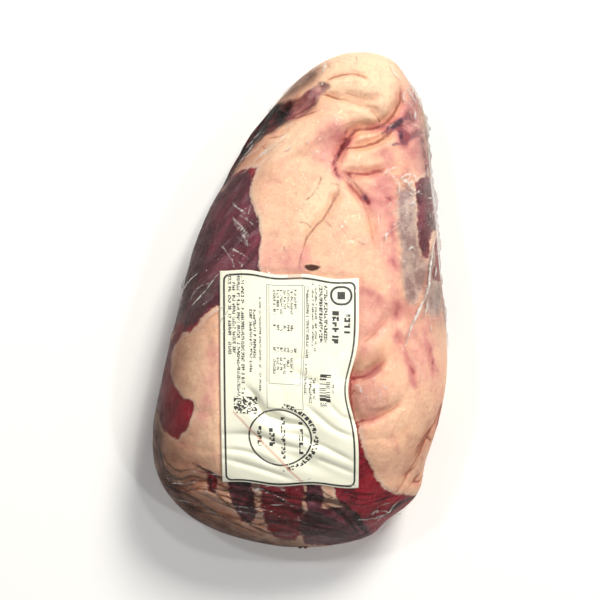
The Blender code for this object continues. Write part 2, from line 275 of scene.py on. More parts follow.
# Shadows that lie in the film's folds over the wide end: half width, route
SHADOWS = (
    (0.8, (-97,-122, -90,-124, -83,-125, -73,-123, -64,-125)),
    (1.2, (-75,-113, -66,-118, -57,-123, -46,-127, -38,-128)),
    (0.8, (-63,-124, -62,-130, -60,-134)),
    (0.7, (-93,-131, -78,-136, -65,-146, -45,-158, -27,-167)),
    (0.6, (-91,-136, -81,-142, -71,-148, -52,-152, -41,-157)),
    (0.9, (-61,-130, -52,-140, -41,-151, -31,-160, -17,-168)),
    (1.3, (-51,-122, -36,-127, -19,-133, -1,-137, 17,-140)),
    (0.7, (-35,-131, -22,-137, -7,-142, 5,-144)),
    (0.7, (-31,-128, -16,-137, 1,-147, 9,-158)),
    (0.8, (-26,-144, -14,-154, -1,-162, 9,-166)),
    (0.9, (-29,-158, -16,-156, -4,-156, 15,-154)),
    (0.6, (-65,-135, -44,-142, -26,-144, -1,-154, 17,-156)),
    (0.9, (-1,-131, 7,-136, 14,-141)),
    (0.8, (-1,-157, 12,-157, 30,-161)),
    (0.8, (-1,-166, 12,-168, 30,-170)),
    (2, (8,-135, 14,-138, 24,-140, 35,-148, 43,-159, 50,-170)),
    (1.2, (16,-142, 27,-148, 36,-157, 43,-169)),
    (1.1, (-7,-148, 1,-148, 12,-150, 21,-155, 31,-160)),
    (0.6, (26,-131, 41,-135, 55,-135, 69,-133)),
    (0.6, (28,-140, 44,-143, 58,-139, 72,-134)),
    (0.5, (30,-135, 44,-139, 60,-136)),
    (1.4, (60,-153, 70,-144, 79,-140, 88,-140)),
    (0.8, (1,-127, 9,-129, 17,-133, 26,-138)),
    (0.8, (-101,-96, -97,-112, -92,-120, -84,-124)),
    (0.6, (-98,-104, -92,-113, -84,-118, -72,-117)),
    (0.9, (-56,-126, -40,-129, -24,-126, -10,-127, 8,-129)),
)
# A fan of further ones round FAN_POINT: how many, angles from and to in degrees, bow in degrees
SHADOW_FAN = (18, 146, 177, 10)

# Blood under the film beside the creases: strength, half width, route
BLOOD = (
    (1, 0.9, (43,119.5, 39,118, 35,114, 32,109, 29,105, 26,100, 24,95, 24,91, 25,86)),
    (0.6, 0.7, (33,118, 32,113, 29,109)),
    (0.6, 0.6, (32,109, 29,107)),
    (0.6, 0.6, (29,105, 25,104)),
    (0.5, 0.6, (26,100, 22,100)),
    (0.5, 0.6, (24,95, 20,96)),
    (0.5, 0.6, (35,114, 31,116)),
    (0.7, 0.7, (25,88, 27,83, 28,79)),
    (0.35, 2, (43,119, 50,119, 58,121, 66,125)),
    (0.3, 4, (36,114, 31,108, 27,101, 24,95)),
    (0.25, 3, (24,95, 25,88, 30,82)),
    (0.35, 3.4, (66,126, 60,121, 50,119)),
    (0.8, 1.6, (43,71, 46,68, 48,66)),
    (0.3, 6, (26,90, 34,84, 42,76, 48,68, 52,60)),
    (0.35, 6, (52,84, 60,76, 66,66)),
    (0.5, 3, (56,66, 62,58, 64,48, 66,36)),
    (0.8, 3.4, (63,31, 66,25, 67,16)),
    (0.5, 2.2, (1,31, 0,24, -3,20)),
    (0.35, 3, (36,12, 44,6, 52,3, 60,-6)),
    (0.3, 3, (66,4, 67,-8, 66,-18)),
    (0.5, 2.2, (90,-30, 92,-40, 94,-50)),
    (0.8, 1.8, (86,118, 88,107, 90,94, 90,84)),
    (0.5, 2.4, (60,84, 72,86, 76,96)),
    (0.6, 2, (35,-52, 34,-60, 34,-70, 36,-84, 38,-92)),
    (0.35, 2, (35,-52, 44,-51, 51,-48, 57,-43)),
    (0.3, 2, (35,-83, 47,-82, 56,-79)),
    (0.35, 3, (45,-30, 42,-38, 38,-44)),
    (0.5, 4, (74,132, 80,126, 84,112, 80,104)),
    (0.45, 4, (18,122, 24,116, 26,108)),
    (0.3, 6, (8,120, 16,110, 20,100)),
    (0.5, 2, (-30,88, -36,92, -42,88)),
    (0.35, 3, (-26,30, -14,26, -4,28)),
    (0.3, 3, (14,22, 26,20, 36,14)),
    (0.45, 2.4, (64,-26, 72,-38, 78,-52, 82,-66)),
    (0.4, 2.4, (82,-10, 86,-22, 90,-36, 92,-52)),
    (0.35, 2, (60,-90, 66,-96, 68,-108)),
    (0.4, 3, (-84,-96, -80,-100, -74,-102)),
    (0.35, 5, (96,-60, 98,-76, 94,-90)),
)

# Patches, as smooth outlines in plan that run past the form's edge where the patch does: how far each runs
# down the side below the widest level, and its outline. First the lean that is purple all over.
PURPLE_LEAN = (
    (14, (-50,-123, -41,-125, -34,-126, -31,-140, -31,-152, -37,-157, -44,-150, -48,-138)),
    (10, (5,-125, 14,-125, 15,-142, 13,-155, 7,-156, 4,-142)),
    (16, (2,-150, 17,-145, 34,-148, 52,-165, 40,-175, 17,-177, 4,-175, 1,-162)),
    (40, (82,83, 87,86, 96,90, 112,88, 112,46, 97,50, 92,42, 90,30, 86,30, 84,36, 83,43, 82,52, 82,64,
        81,74)),
)
LEAN_PATCHES = PURPLE_LEAN + (
    (46, (-31,92, -35,82, -34,67, -29,55, -28,41, -29,26, -26,8, -40,0, -55,-3, -66,-10, -77,-22, -90,-21,
        -98,0, -94,27, -84,56, -70,76, -56,86, -43,91)),
    (30, (-82,-22, -88,-32, -91,-43, -89,-55, -81,-67, -73,-70, -75,-81, -81,-92, -86,-96, -96,-88,
        -104,-66, -103,-46, -95,-28)),
    (0, (-65,-120, -59,-122, -58,-133, -63,-132)),
    (16, (-27,-119, -12,-118, 1,-121, 2,-140, 1,-158, -3,-170, -11,-173, -19,-167, -25,-153, -27,-138)),
    (16, (37,-82, 42,-97, 46,-110, 52,-122, 60,-131, 75,-137, 92,-138, 98,-146, 80,-160, 62,-168, 50,-167,
        42,-157, 32,-147, 25,-138, 24,-126, 26,-100)),
    (14, (94.5,38, 96,27, 93,17, 97,13, 112,14, 112,42, 99,43)),
)
PURPLE_PATCHES = PURPLE_LEAN + (
    (30, (-50,86, -37,90, -32,72, -25,56, -23,40, -24,24, -30,8, -44,1, -56,-2, -66,-9, -76,-18, -87,-14,
        -91,4, -88,28, -80,50, -67,70)),
    (0, (20,152, 13,142, 8,134, 1,129, -5,126, -10,128, -6,133, -2,138, 2,143, 8,148, 14,152)),
)
SILVER_PATCHES = (
    (4, (86,34, 96,32, 99,12, 98,-6, 91,-12, 86,0, 88,16)),
    (0, (70,75, 67.5,67, 69,54, 70,41, 71,27, 71,14, 73,1, 80,-2, 86,8, 88,20, 88,29, 86,34, 84,40, 83,47,
        82.5,61, 81.5,74, 76,78)),
)
PINK_PATCHES = (
    (0, (57,106, 66,105, 68,100, 63,92, 63,84, 69,78, 66,73, 57,77, 50,83, 53,92)),
    (0, (53,72, 59,72, 66,68, 65,62, 58,63, 53,67)),
    (8, (86,34, 98,32, 101,10, 99,-14, 88,-16, 84,6)),
    (6, (72,104, 84,106, 90,98, 88,86, 78,84, 70,92)),
    (0, (18,128, 28,122, 33,112, 26,102, 16,106, 12,118)),
    (6, (66,-2, 80,-2, 88,-24, 90,-50, 80,-56, 74,-36)),
    (0, (-56,-30, -58,-62, -64,-84, -72,-84, -68,-60, -64,-34)),
    (0, (42,72, 49,57, 52,44, 56,27, 59,16, 61,3, 69,3, 71,25, 69,45, 66,60, 58,68, 49,76)),
    (10, (70,151, 78,149, 88,138, 90,116, 78,108, 70,116, 69,134)),
    (0, (38,10, 49,8, 62,-5, 58,-22, 44,-34, 38,-22)),
    (0, (36,-52, 49,-52, 60,-60, 58,-77, 41,-82, 36,-71)),
    (0, (-30,38, -12,36, 6,36, 2,18, -20,18, -34,22)),
    (14, (84,100, 92,104, 100,70, 94,62, 86,84)),
    (10, (80,-10, 90,-12, 96,-40, 92,-62, 84,-40)),
    (0, (20,116, 34,112, 30,98, 18,92, 8,100)),
)
CREAM_PATCHES = (
    (0, (67,60, 71,60, 71,34, 70,14, 66,14, 67,36)),
    (0, (83,72, 87,72, 86,56, 86,42, 83,42, 83,58)),
    (20, (18,176, 34,182, 52,182, 66,172, 72,158, 71,144, 67,132, 58,123, 47,120, 37,128, 25,136, 14,146,
        12,162)),
    (0, (10,76, 22,74, 21,64, 13,52, 4,38, -1,54)),
    (0, (-8,128, 8,126, 20,122, 2,112, -16,100, -26,104)),
    (12, (-80,-40, -66,-26, -58,-50, -60,-90, -72,-104, -70,-84)),
)
PIT_PATCHES = (
    (9, (19,149, 13,143, 8,135, 1,130, -8,126, -16,121.5, -24,117, -31,111, -37,104, -44,96, -51,86,
        -57,78, -70,84, -62,104, -48,124, -34,140, -24,142, -15,140, -8,139, -2,140, 4,145, 9,149,
        14,152)),
)
# The band along the right rim, where the film bends away: dark meat and painted shade
RIM_PATCHES = (
    (4, (68,177, 72,166, 79,154, 87,143, 90,134, 90,120, 91.5,104, 93,90, 96,74, 97,60, 112,60, 112,110,
        104,140, 92,160, 78,182)),
    (4, (99.5,30, 101.5,14, 101.5,-4, 104,-20, 116,-20, 116,30)),
)
# Painted shade on the rim at the lower left, which the folded film keeps in the dark, and on a patch at the
# upper left
SHADED_RIM_PATCHES = (
    (0, (-16,144, -3,158, 10,164, 14,158, 4,150, -9,142)),
    (16, (-97,-10, -99,-30, -101,-52, -98,-74, -95,-92, -94,-108, -91,-119, -84,-129, -73,-142, -57,-153,
        -39,-164, -20,-171, 4,-176, 4,-190, -60,-190, -112,-160, -124,-110, -118,-52, -108,-10)),
)
SPECK_PATCHES = (
    (0, (2,23.5, 8,24.5, 14,22, 8,20)),
)
PATCH_REACH = 12  # signed distances to a patch's edge are kept within this
LINE_REACH = 4  # and those to a thin line within this
CREASE_WIDTH = 0.9  # half width of the coloured line along a fold
HALO_WIDTH = 3.2  # and of the faint red stain and brown painted shade beside it
HOLLOW_DEPTH = 4  # depth at which a fold's bottom gets its full painted shade
FOLD_SHADE = 0.6  # strength of the brown painted shade that the tables of folds give
SOFTENINGS = 2  # how often the meat's relief is smoothed
LATTICE = 32  # corners to each side of the noise's lattice
PIT_DEPTH = 12  # how far the meat drops away under the stretched film at the upper left
PIT_WALL = (-3, 9)  # signed distances to the hollow's edge between which the meat drops
SIDE_TIGHT = 0.62  # how much closer the meat lies to the film at the sides
TIGHT_FROM = (0.6, 0.92)  # shares of the half width between which it closes in

# Lean on the sides, the back and the ends, which the photo doesn't show: angle round the section, place
# along Y, half reach in degrees, half length, how purple
SIDE_PATCHES = (
    (-32, 96, 22, 34, 0.6),
    (-26, -4, 20, 30, 0.1),
    (-40, -104, 26, 26, 0),
    (214, 108, 22, 26, 0.2),
    (206, -104, 16, 22, 0),
    (262, 70, 36, 60, 0.3),
    (284, -70, 40, 60, 0),
)

SHADE_WAY = (-0.86, -0.46, -0.12)  # the way that the side with painted shade faces
WAVER = ((0.8, 7, 31), (0.18, 3, 33))  # reach, size and seed of the sway of creases and edges
SIDE_WAVER = (9, 19, 35)  # and of the edges on the sides that the photo doesn't show
DOWN_WAVER = (5.4, 15, 36)  # and of those that run along the sides
SIDE_FROM = (0.9, 0.995)  # shares of the half width between which the side sway sets in
# Lumps of the meat: height, size and seed. Its dimples and the crumples of the label and the film are the
# crests of a noise: its stretch, size, seed and sharpness.
LUMPS = ((0.6, 13, 1), (0.22, 5, 2))
DIMPLES = (1, 17, 4, 6)
DIMPLE_DEPTH = 0.5
FIBRE_STRETCH = (1, 0.16, 1)
FIBRES = (1.8, 3)  # size and seed of the lean's fibres
FIBRE_HEIGHT = 0.14
LEAN_DROP = 1.2  # how far the lean lies below the fat round it
MEAT_INSET = 1.3  # from the form to the meat
LABEL_INSET = 0.75  # from the form to the label's upper face
LABEL_ROOM = 1.3  # how much deeper the meat lies under the label

# ---- The label ----
# Its corners in plan. Places on the flat sheet are millimetres across from its left edge and down from
# the edge nearest the narrow end.
SHEET_ACROSS = 100
SHEET_DOWN = 150
LABEL_CORNERS = ((-55, 21), (40, 14), (-53, -124.5), (40, -128))
LABEL_TUCK = (7.5, -61, 22)  # how far its right edge dips in, where along Y, and its reach
# depth, half width, route
LABEL_FOLDS = (
    (3.4, 2.4, (-35,-60, -31,-64, -28,-71, -23,-77, -15,-80, -8,-83, 0,-84, 5,-87)),
    (-1.6, 4.5, (-40,-66, -32,-79, -20,-86, -4,-91, 10,-92)),
    (1.6, 2, (-52,-91, -35,-91, -24,-93, -15,-97, -3,-100, 6,-102)),
    (2, 2, (5,-96, 15,-99, 23,-103, 36,-110)),
    (1.8, 2, (-53,-101, -36,-103, -24,-108, -14,-113)),
    (1.7, 2, (-52,-108, -36,-112, -20,-117, -6,-122)),
    (2, 2, (5,-72, 15,-81, 24,-88, 36,-93)),
    (1.2, 1.8, (20,-70, 27,-78, 38,-82)),
    (1.3, 1.8, (-18,-87, -9,-90, 1,-92, 9,-95)),
    (1.1, 2.2, (-12,-74, -3,-78, 7,-83)),
    (1.4, 2, (10,-107, 22,-112, 38,-119)),
    (1.2, 4.5, (36,-16, 31,-30, 25,-40, 24,-54)),
    (1, 3, (-6,-46, 6,-54, 18,-58)),
)
LABEL_SOFT_EDGE = 5  # how far outside the label its creases run out
LABEL_CUT = 0.45  # share of a label fold's depth that is a sharp-bottomed V
LABEL_COLUMNS = 110
LABEL_ROWS = 165
# Waves of its upper and lower edge: height, waves in radians a mm, start, and how fast they die away
UPPER_WAVES = (0.9, 0.16, 1, 6)
LOWER_WAVES = (1.1, 0.13, 0.4, 10)
PAPER_DENTS = (7, 5)  # size and seed
PAPER_DENT = 0.12
CRUMPLES = (1, 16, 6, 3)
CRUMPLE_DEPTH = 0.9
CRUMPLED = (1, 8, -52, 34, 34, 0)

# ---- The film ----
# Ridges of the film: height, half width, how white (whitened film and painted glints), route
FILM_RIDGES = (
    (2.6, 2, 0.5, (98,48, 92,42, 90,29, 87,10, 82,-3, 75,-19, 72,-32)),
    (1, 1, 0.35, (-34,93, -26,101, -16,108, -6,116)),
    (0.8, 0.9, 0.12, (34,35, 49,40, 58,44, 69,52, 97,68)),
    (0.6, 0.9, 0.1, (1,119, 12,111, 21,103, 23,92)),
    (1.1, 1.1, 0.5, (-41,58, -35,54, -29,49)),
    (1, 1, 0.5, (-33,66, -35,59)),
    (1.1, 1, 0.5, (-44,51, -38,47, -33,42)),
    (0.9, 1, 0.4, (-40,45, -36,40, -35,35)),
    (1.1, 1.2, 0.6, (-47,35, -39,31, -33,26)),
    (0.9, 1, 0.5, (-43,27, -38,23)),
    (0.8, 1, 0.4, (-56,40, -48,30, -44,22)),
    (1.4, 1.6, 0.5, (60,90, 64,84, 68,78, 66,72)),
    (1, 1.1, 0.4, (70,86, 76,78, 88,72, 97,70)),
    (0.9, 1.2, 0.3, (74,140, 80,133, 84,124)),
    (0.9, 1, 0.4, (74,152, 80,148, 82,142)),
    (0.9, 1.2, 0.3, (8,160, 14,164, 20,162)),
    (0.9, 1, 0.3, (-30,-128, -20,-126, -8,-126)),
    (0.8, 1, 0.3, (52,-58, 54,-64, 50,-68)),
    (0.8, 1, 0.3, (40,-60, 44,-66)),
    (0.8, 1, 0.15, (70,-138, 60,-146, 56,-152)),
    (0.9, 1, 0.35, (-95,-121, -88,-126, -78,-126, -69,-123, -64,-125)),
)
# Where the film is slack and catches the light: strength, centre x and y, reach across and along, turn
SLACK = (
    (1, -46, 42, 20, 34, -18),
    (0.4, 91, 110, 8, 48, 4),
    (0.8, 86, 26, 9, 40, 0),
    (0.8, 64, 78, 18, 12, 0),
    (0.9, -28, 126, 26, 16, -40),
    (0.6, 76, 140, 12, 16, 0),
    (0.8, -20, -146, 70, 18, 8),
    (0.6, 60, -146, 24, 14, 0),
    (0.5, 52, -64, 14, 14, 0),
    (0.5, -86, -6, 10, 30, 0),
    (0.4, -22, 106, 16, 8, -45),
)
# Milky or grey film: strength, centre x and y, reach across and along, turn
HAZE = (
    (0.05, 92, 126, 4, 28, 8),
    (0.04, 99, 62, 4, 26, -2),
    (0.35, 0, 158, 16, 6, 42),
    (0.03, -42, 40, 14, 32, -14),
    (0.08, 79, 132, 8, 14, 0),
    (0.1, 80, 30, 8, 36, 3),
    (0.06, -87, 2, 4, 18, 0),
    (0.09, -66, 4, 7, 20, -34),
    (0.03, 96, -20, 5, 26, 0),
)
# Painted shade where the film bends away: strength, centre x and y, reach across and along, turn
EDGE_SHADE = (
    (0.5, 88, 130, 14, 48, 10),
    (0.3, 99, 60, 14, 40, 0),
    (0.4, 102, 0, 14, 30, 0),
    (0.5, -8, 158, 22, 7, 42),
)
EDGE_SHADE_TILT = (0.5, 0.9)  # sines of the film's tilt between which it does so
# Where the film's spare stands out in small flaps: strength, centre x and y, reach across and along, turn
FLAPS = (
    (1, 90, 118, 16, 44, 10),
    (1, 99, 50, 14, 44, 0),
    (0.8, 103, -10, 14, 26, 0),
    (0.6, -20, 150, 30, 12, 46),
)
FLAP_REACH = 2
FLAP_SHADE = 0.35  # how much painted shade the film gets in its flaps, where it lies double
FLAP_NOISES = ((1, 6.5, 18), (0.5, 2.6, 19))
FLAP_LEVEL = 0.15  # the noise above which a flap stands out
FLAP_FROM = (0.62, 0.95)  # shares of the half width between which the flaps set in
DOUBLED_FROM = (0.9, 0.99)  # and between which they show as doubled film with painted shade
# Crinkles: how many, centre x and y, reach across and along, turn of the patch, direction in degrees (or
# FAN for towards the point where the folds run together), spread, shortest and longest, height, how white
# (whitened film and painted glints)
FAN = None
CRINKLES = (
    (14, -37, 44, 5, 22, 8, -42, 9, 9, 17, 1, 1),
    (9, -46, 36, 8, 24, 0, -36, 10, 8, 16, 0.7, 0.5),
    (16, -60, 14, 15, 26, -22, 46, 9, 16, 36, 0.7, 0.34),
    (8, -62, 62, 8, 22, -26, 58, 10, 10, 24, 0.5, 0.2),
    (24, 66, 82, 12, 8, 0, 24, 50, 3, 12, 0.8, 0.6),
    (14, 62, 48, 5, 22, 0, 70, 40, 2, 6, 0.5, 0.5),
    (14, -4, 110, 10, 6, 20, 40, 60, 2, 6, 0.5, 0.5),
    (8, 14, 146, 6, 5, 40, 50, 40, 2, 6, 0.6, 0.6),
    (14, 86, 76, 9, 12, 0, -24, 30, 6, 16, 0.7, 0.4),
    (46, 91.5, 104, 4, 52, 3.5, 96, 22, 5, 18, 0.5, 0.2),
    (14, 96, 46, 4, 24, 0, 84, 24, 5, 16, 0.4, 0.3),
    (22, 90, 16, 3.5, 30, -16, 74, 18, 5, 16, 0.8, 0.8),
    (26, 78, 36, 6, 32, 0, 62, 40, 4, 12, 0.7, 0.7),
    (26, 79, 138, 8, 18, 0, 120, 50, 4, 12, 0.7, 0.5),
    (8, 72, 160, 7, 10, 40, 140, 20, 6, 16, 0.8, 0.5),
    (12, -14, 146, 22, 6, 44, 30, 24, 8, 20, 0.9, 0.5),
    (12, -34, 118, 20, 6, 52, 50, 14, 8, 22, 0.9, 0.16),
    (6, 12, 163, 6, 8, 0, 60, 40, 6, 12, 0.8, 0.5),
    (14, -24, 106, 22, 8, 42, 40, 12, 10, 26, 0.45, 0.22),
    (10, 24, 92, 18, 10, 0, 130, 24, 10, 22, 0.4, 0.15),
    (40, -24, -146, 62, 15, -8, FAN, 5, 24, 70, 0.9, 0.18),
    (18, -80, -120, 20, 10, -10, FAN, 8, 14, 40, 0.8, 0.1),
    (18, 50, -150, 26, 12, 18, 18, 16, 8, 26, 0.9, 0.18),
    (10, 78, -128, 16, 12, 30, 36, 20, 8, 22, 0.7, 0.16),
    (10, 58, -146, 14, 8, 0, 30, 20, 2, 5, 0.6, 0.35),
    (10, -24, -128, 30, 3, -6, 10, 30, 3, 9, 0.6, 0.6),
    (8, 50, -62, 12, 8, 0, -58, 30, 4, 8, 0.6, 0.6),
    (8, 46, -86, 12, 4, 0, 8, 20, 6, 12, 0.6, 0.35),
    (12, 88, -30, 8, 26, 0, 100, 20, 10, 24, 0.7, 0.3),
    (12, -90, -8, 7, 26, -6, 72, 16, 8, 22, 0.8, 0.45),
    (10, 0, -122, 46, 3, -3, 2, 10, 8, 24, 0.6, 0.4),
    (60, 0, 0, 90, 150, 0, 60, 180, 10, 30, 0.22, 0.03),
)
CRINKLE_BEND = 0.16  # how far a crinkle bows, as a share of its length
FILM_FOLD_DEPTH = 0.86  # the film crosses the folds a little higher and wider than the meat
FILM_FOLD_WIDTH = 1.1
FILM_CLEARANCE = 0.9
FILM_INSET = 0.15
RIDGE_POWER = 1.4
WHITE_WIDTH = 0.85  # half width of the white line, whitened film and painted glint, along the most whitened crinkle
FAN_POINT = (62, -176)  # where the folds of the wide end run together
FAN_FOLDS = (23, 2)  # waves against the angle seen from there, and sharpness
FAN_HEIGHT = 1
FAN_ALONG = (-118, -136)  # places along Y and X between which its folds set in
FAN_ACROSS = (58, 20)
KNOT_POINT = (64, -10)  # where the folds beside the label run together
KNOT_FOLDS = (9, 2.5)
KNOT_HEIGHT = 0.5
KNOT_FAR = (66, 30)  # distances between which its folds set in, and their place past it along Y
KNOT_NEAR = (4, 14)
KNOT_ALONG = (10, -8)
FOLD_WANDER = ((2.2, 26, 11), (0.8, 9, 12))
FILM_BEND = 3  # reach, size and seeds of the noises that bend the film's wrinkles
FILM_BEND_SIZE = 15
FILM_BEND_SEEDS = (13, 14, 15)
FINE_WRINKLES = ((1, 0.55, 1), 4.2, 16, 4)
BROAD_WRINKLES = ((0.6, 1, 0.6), 12, 17, 4)
FINE_HEIGHT = 0.55
BROAD_HEIGHT = 0.8
TIGHT_HEIGHT = 0.18  # of the broad ones where the film is tight
SIDE_FADE = 16  # how far down the side the film's slack, haze and flaps fade out

GRID_ROWS = 356
GRID_UPPER = 214  # columns above and below the widest level
GRID_LOWER = 64

# ---- The print on the label ----
# Blocks of print: left, top, width, length, pitch of the rows, pitch of the letters, raggedness of the ends
PRINT_BLOCKS = (
    (6, 4, 12.6, 98, 3.15, 1.5, 0.45),
    (21.4, 27, 5.6, 46, 2.8, 1.7, 0.3),
    (28.4, 18, 2, 72, 2, 1.3, 0.1),
    (38.5, 11, 17.6, 20, 2.5, 1.25, 0.4),
    (38.5, 36, 15.2, 4.6, 2.5, 1.5, 0.3),
    (38.5, 52, 17.6, 4.2, 2.5, 1.4, 0.3),
    (38.5, 59, 15.2, 12, 2.5, 1.3, 0.4),
    (62.2, 8, 2.6, 80, 2.6, 1.3, 0.1),
    (66.2, 6, 4.2, 58, 2.1, 1.25, 0.5),
    (71.4, 6, 7, 46, 3.5, 2, 0.25),
    (66, 72, 6, 18, 3, 1.4, 0.3),
    (85.6, 76, 2, 7, 2, 1.3, 0.1),
    (80.8, 23.5, 6.6, 24, 6.6, 4, 0),
    (89.4, 24, 6, 16, 6, 4, 0),
    (35, 109, 4.6, 13.6, 5.6, 3.4, 0),
    (43.6, 101, 3.2, 30, 4.2, 3, 0),
    (56.6, 104, 3.2, 24, 4.2, 4.8, 0),
    (26.4, 108, 3.2, 14, 4.2, 3.4, 0),
)
STROKES = 4.2  # how many strokes a letter's cell is cut into across its row
STROKE_PARTS = 2.5  # and into how many parts along it
LARGE_PITCH = 3.3  # rows this far apart have no gaps between words
GAP_SHARE = 0.17  # share of the other rows' letters that are gaps
BARE_SHARE = 0.36  # share of a letter's parts that are bare
ROW_FILL = 0.72  # share of a row's pitch that is print
CELL_FILL = 0.8  # and of a letter's
# Codes: their box (left, top, width, length), the size of a cell across and down, and the seed
CODES = (
    ((74.6, 69, 9, 23), 40, 0.62, 51),
    ((9.6, 88, 17, 12), 0.95, 0.95, 52),
)
CODE_BARE_SHARE = 0.48
# Outlined boxes: left, top, width, length, radius of the corners, width of the line. They are the border,
# the table, its inner part and the ring.
BOX_LINES = (
    (3, 3, 94, 145.5, 4, 1.4),
    (34, 8, 27, 87, 0.3, 0.35),
    (35.6, 8, 23.8, 69.6, 0.3, 0.3),
    (80, 6, 14.5, 12.5, 6, 1.6),
)
RING_CORE = (84.5, 9.4, 5.5, 5.5)
STAMP = (43, 115.5, 22.6, 19.6)  # centre and the two radii
STAMP_LINE = 0.029  # half width of its line, as a share of the radius
STAMP_ARC = (24.4, -39, 3.6, 78, 4.8, 3.3, 0)
STAMP_SEED = 31
ARC_SPREAD = 1.15  # length of the arc against that of the ring
STREAK_WAY = (0.98, 90)  # slope and start of the streak of juice
STREAK_BOX = (9, 90, 50, 58)
EDGE_JUICE_BOX = (49, 0, 10, 9)

# ---- Colours that no setting holds. A pair is the darkest and the lightest. ----
VEIN_RED = (0.5, 0.15, 0.14)
SPECKLE = (0.62, 0.3, 0.23)
MILKY_PURPLE = (0.33, 0.2, 0.25)
SINEW = (0.42, 0.24, 0.22)
DARK_SILVER = (0.36, 0.22, 0.22)
FRINGE = (0.86, 0.66, 0.52)  # thin fat round the lean
# nearly black painted shade in the hollow under the bridging film
PIT_SHADE_COLOURS = ((0.014, 0.006, 0.005), (0.13, 0.022, 0.025))
# dark meat and painted shade at the right rim
RIM_COLOURS = ((0.3, 0.11, 0.08), (0.56, 0.36, 0.28))
PLUM_COLOURS = ((0.4, 0.14, 0.17), (0.64, 0.37, 0.33))
CREASE_COLOURS = ((0.36, 0.16, 0.1), (0.42, 0.08, 0.09))  # brown painted shade, and red of blood
CLOT_HALO = (0.23, 0.07, 0.11)
CLOT_DARK = (0.07, 0.024, 0.035)
SPECK_DARK = (0.08, 0.03, 0.02)
# brown painted shade in the folds' hollows
HOLLOW_SHADE_TINT = (0.8, 0.5, 0.4)
# browner fat and painted shade
BROWNED_AND_SHADED_TINT = (0.62, 0.52, 0.47)
SHADOW_TINT = (0.09, 0.055, 0.05)
# painted shade of the shaded rims
SHADED_RIM_TINT = (0.22, 0.15, 0.12)
SHADE_TINT = (0.27, 0.19, 0.15)  # painted shade on the side that faces lower left
JUICE = (0.62, 0.3, 0.2)
# white of whitened film and painted glints
CREASE_WHITE_AND_GLINT = (0.92, 0.88, 0.84)
WHITE = (1, 1, 1)
MILK_TURN = -39  # direction of the milky streaks on film and purple lean, in degrees
VEIN_BEND_SCALE = 70
VEIN_BEND = (0.012, 0.012, 0.012)  # how far the veins stray, in metres
FILM_IOR = 1.4
FILM_MAX_GLOSS = 0.03  # the most it reflects at a glancing view, as it lies on wet meat

# ---- The stage, in metres ----
FLOOR_SIZE = 8
KEY_PLACE = (1.3, 2.6, 2.7)
KEY_SIZE = 1.1
KEY_COLOUR = (1, 0.96, 0.88)
FILL_PLACE = (-0.9, -0.5, 1.1)
FILL_SIZE = 1.2
FILL_SHARE = 0.012  # of the key light's power
GLINT_PLACES = ((0.3, 0.4, 1.3), (-0.45, 0.35, 1.2), (0.55, -0.25, 1.15))
GLINT_SIZE = 0.07
SKY_COLOUR = (1, 0.99, 0.97)
SENSOR = 36  # width of the camera's sensor in mm
MID_HEIGHT = 0.046  # of the level whose width the view spans
VIEW_DEPTH = 20


# ---- Settings that a user would change ----
def colour_setting(name, description, default):
    return bpy.props.FloatVectorProperty(
        name=name, description=description, default=default, size=3, min=0, max=1, subtype="COLOR"
    )


def number_setting(name, description, default, low, high, **kind):
    return bpy.props.FloatProperty(
        name=name, description=description, default=default, min=low, max=high, **kind
    )


LENGTH = {"unit": "LENGTH", "subtype": "DISTANCE"}
SHARE = {"low": 0, "high": 1, "subtype": "FACTOR"}


class MeatSettings(bpy.types.PropertyGroup):
    """Colours of the fat and the lean"""

    fat: colour_setting("Fat", "Main colour of the fat cover", (0.86, 0.51, 0.34))
    cream: colour_setting("Cream fat", "Thick, yellower fat", (0.88, 0.61, 0.41))
    pink: colour_setting("Pink fat", "Thin fat with blood behind it", (0.72, 0.33, 0.285))
    lean: colour_setting("Lean", "Bright lean meat", (0.32, 0.014, 0.028))
    dark_lean: colour_setting("Dark lean", "Lean in its deep parts", (0.12, 0.008, 0.015))
    purple: colour_setting("Purple lean", "Lean that has had no air", (0.18, 0.045, 0.07))
    silver: colour_setting("Silver skin", "Sheet of sinew at the right", (0.57, 0.46, 0.43))
    stain: colour_setting("Stain", "Fat tinted by blood beside the creases", (0.6, 0.22, 0.21))
    blood: colour_setting("Blood", "Blood along the creases", (0.24, 0.03, 0.045))
    roughness: number_setting("Roughness", "Roughness of the wet surface", 0.55, **SHARE)


class LabelSettings(bpy.types.PropertyGroup):
    """Colours and thickness of the label"""

    paper: colour_setting("Paper", "Colour of the paper", (0.92, 0.91, 0.745))
    ink: colour_setting("Ink", "Colour of the print", (0.018, 0.018, 0.016))
    thickness: number_setting(
        "Thickness", "Thickness of the sheet", 0.00018, 0.00005, 0.001, precision=5, **LENGTH
    )


class FilmSettings(bpy.types.PropertyGroup):
    """Looks of the clear film"""

    tint: colour_setting("Haze", "Colour of the milky parts of the film", (0.52, 0.46, 0.42))
    # painted shade of the film where it bends away
    edge_shade: colour_setting("Painted edge shade", "Colour of the film where it bends away", (0.2, 0.13, 0.09))
    haze: number_setting("Haze strength", "How milky the film is where it is slack", 1, **SHARE)
    roughness: number_setting("Roughness", "Roughness of the film", 0.09, **SHARE)


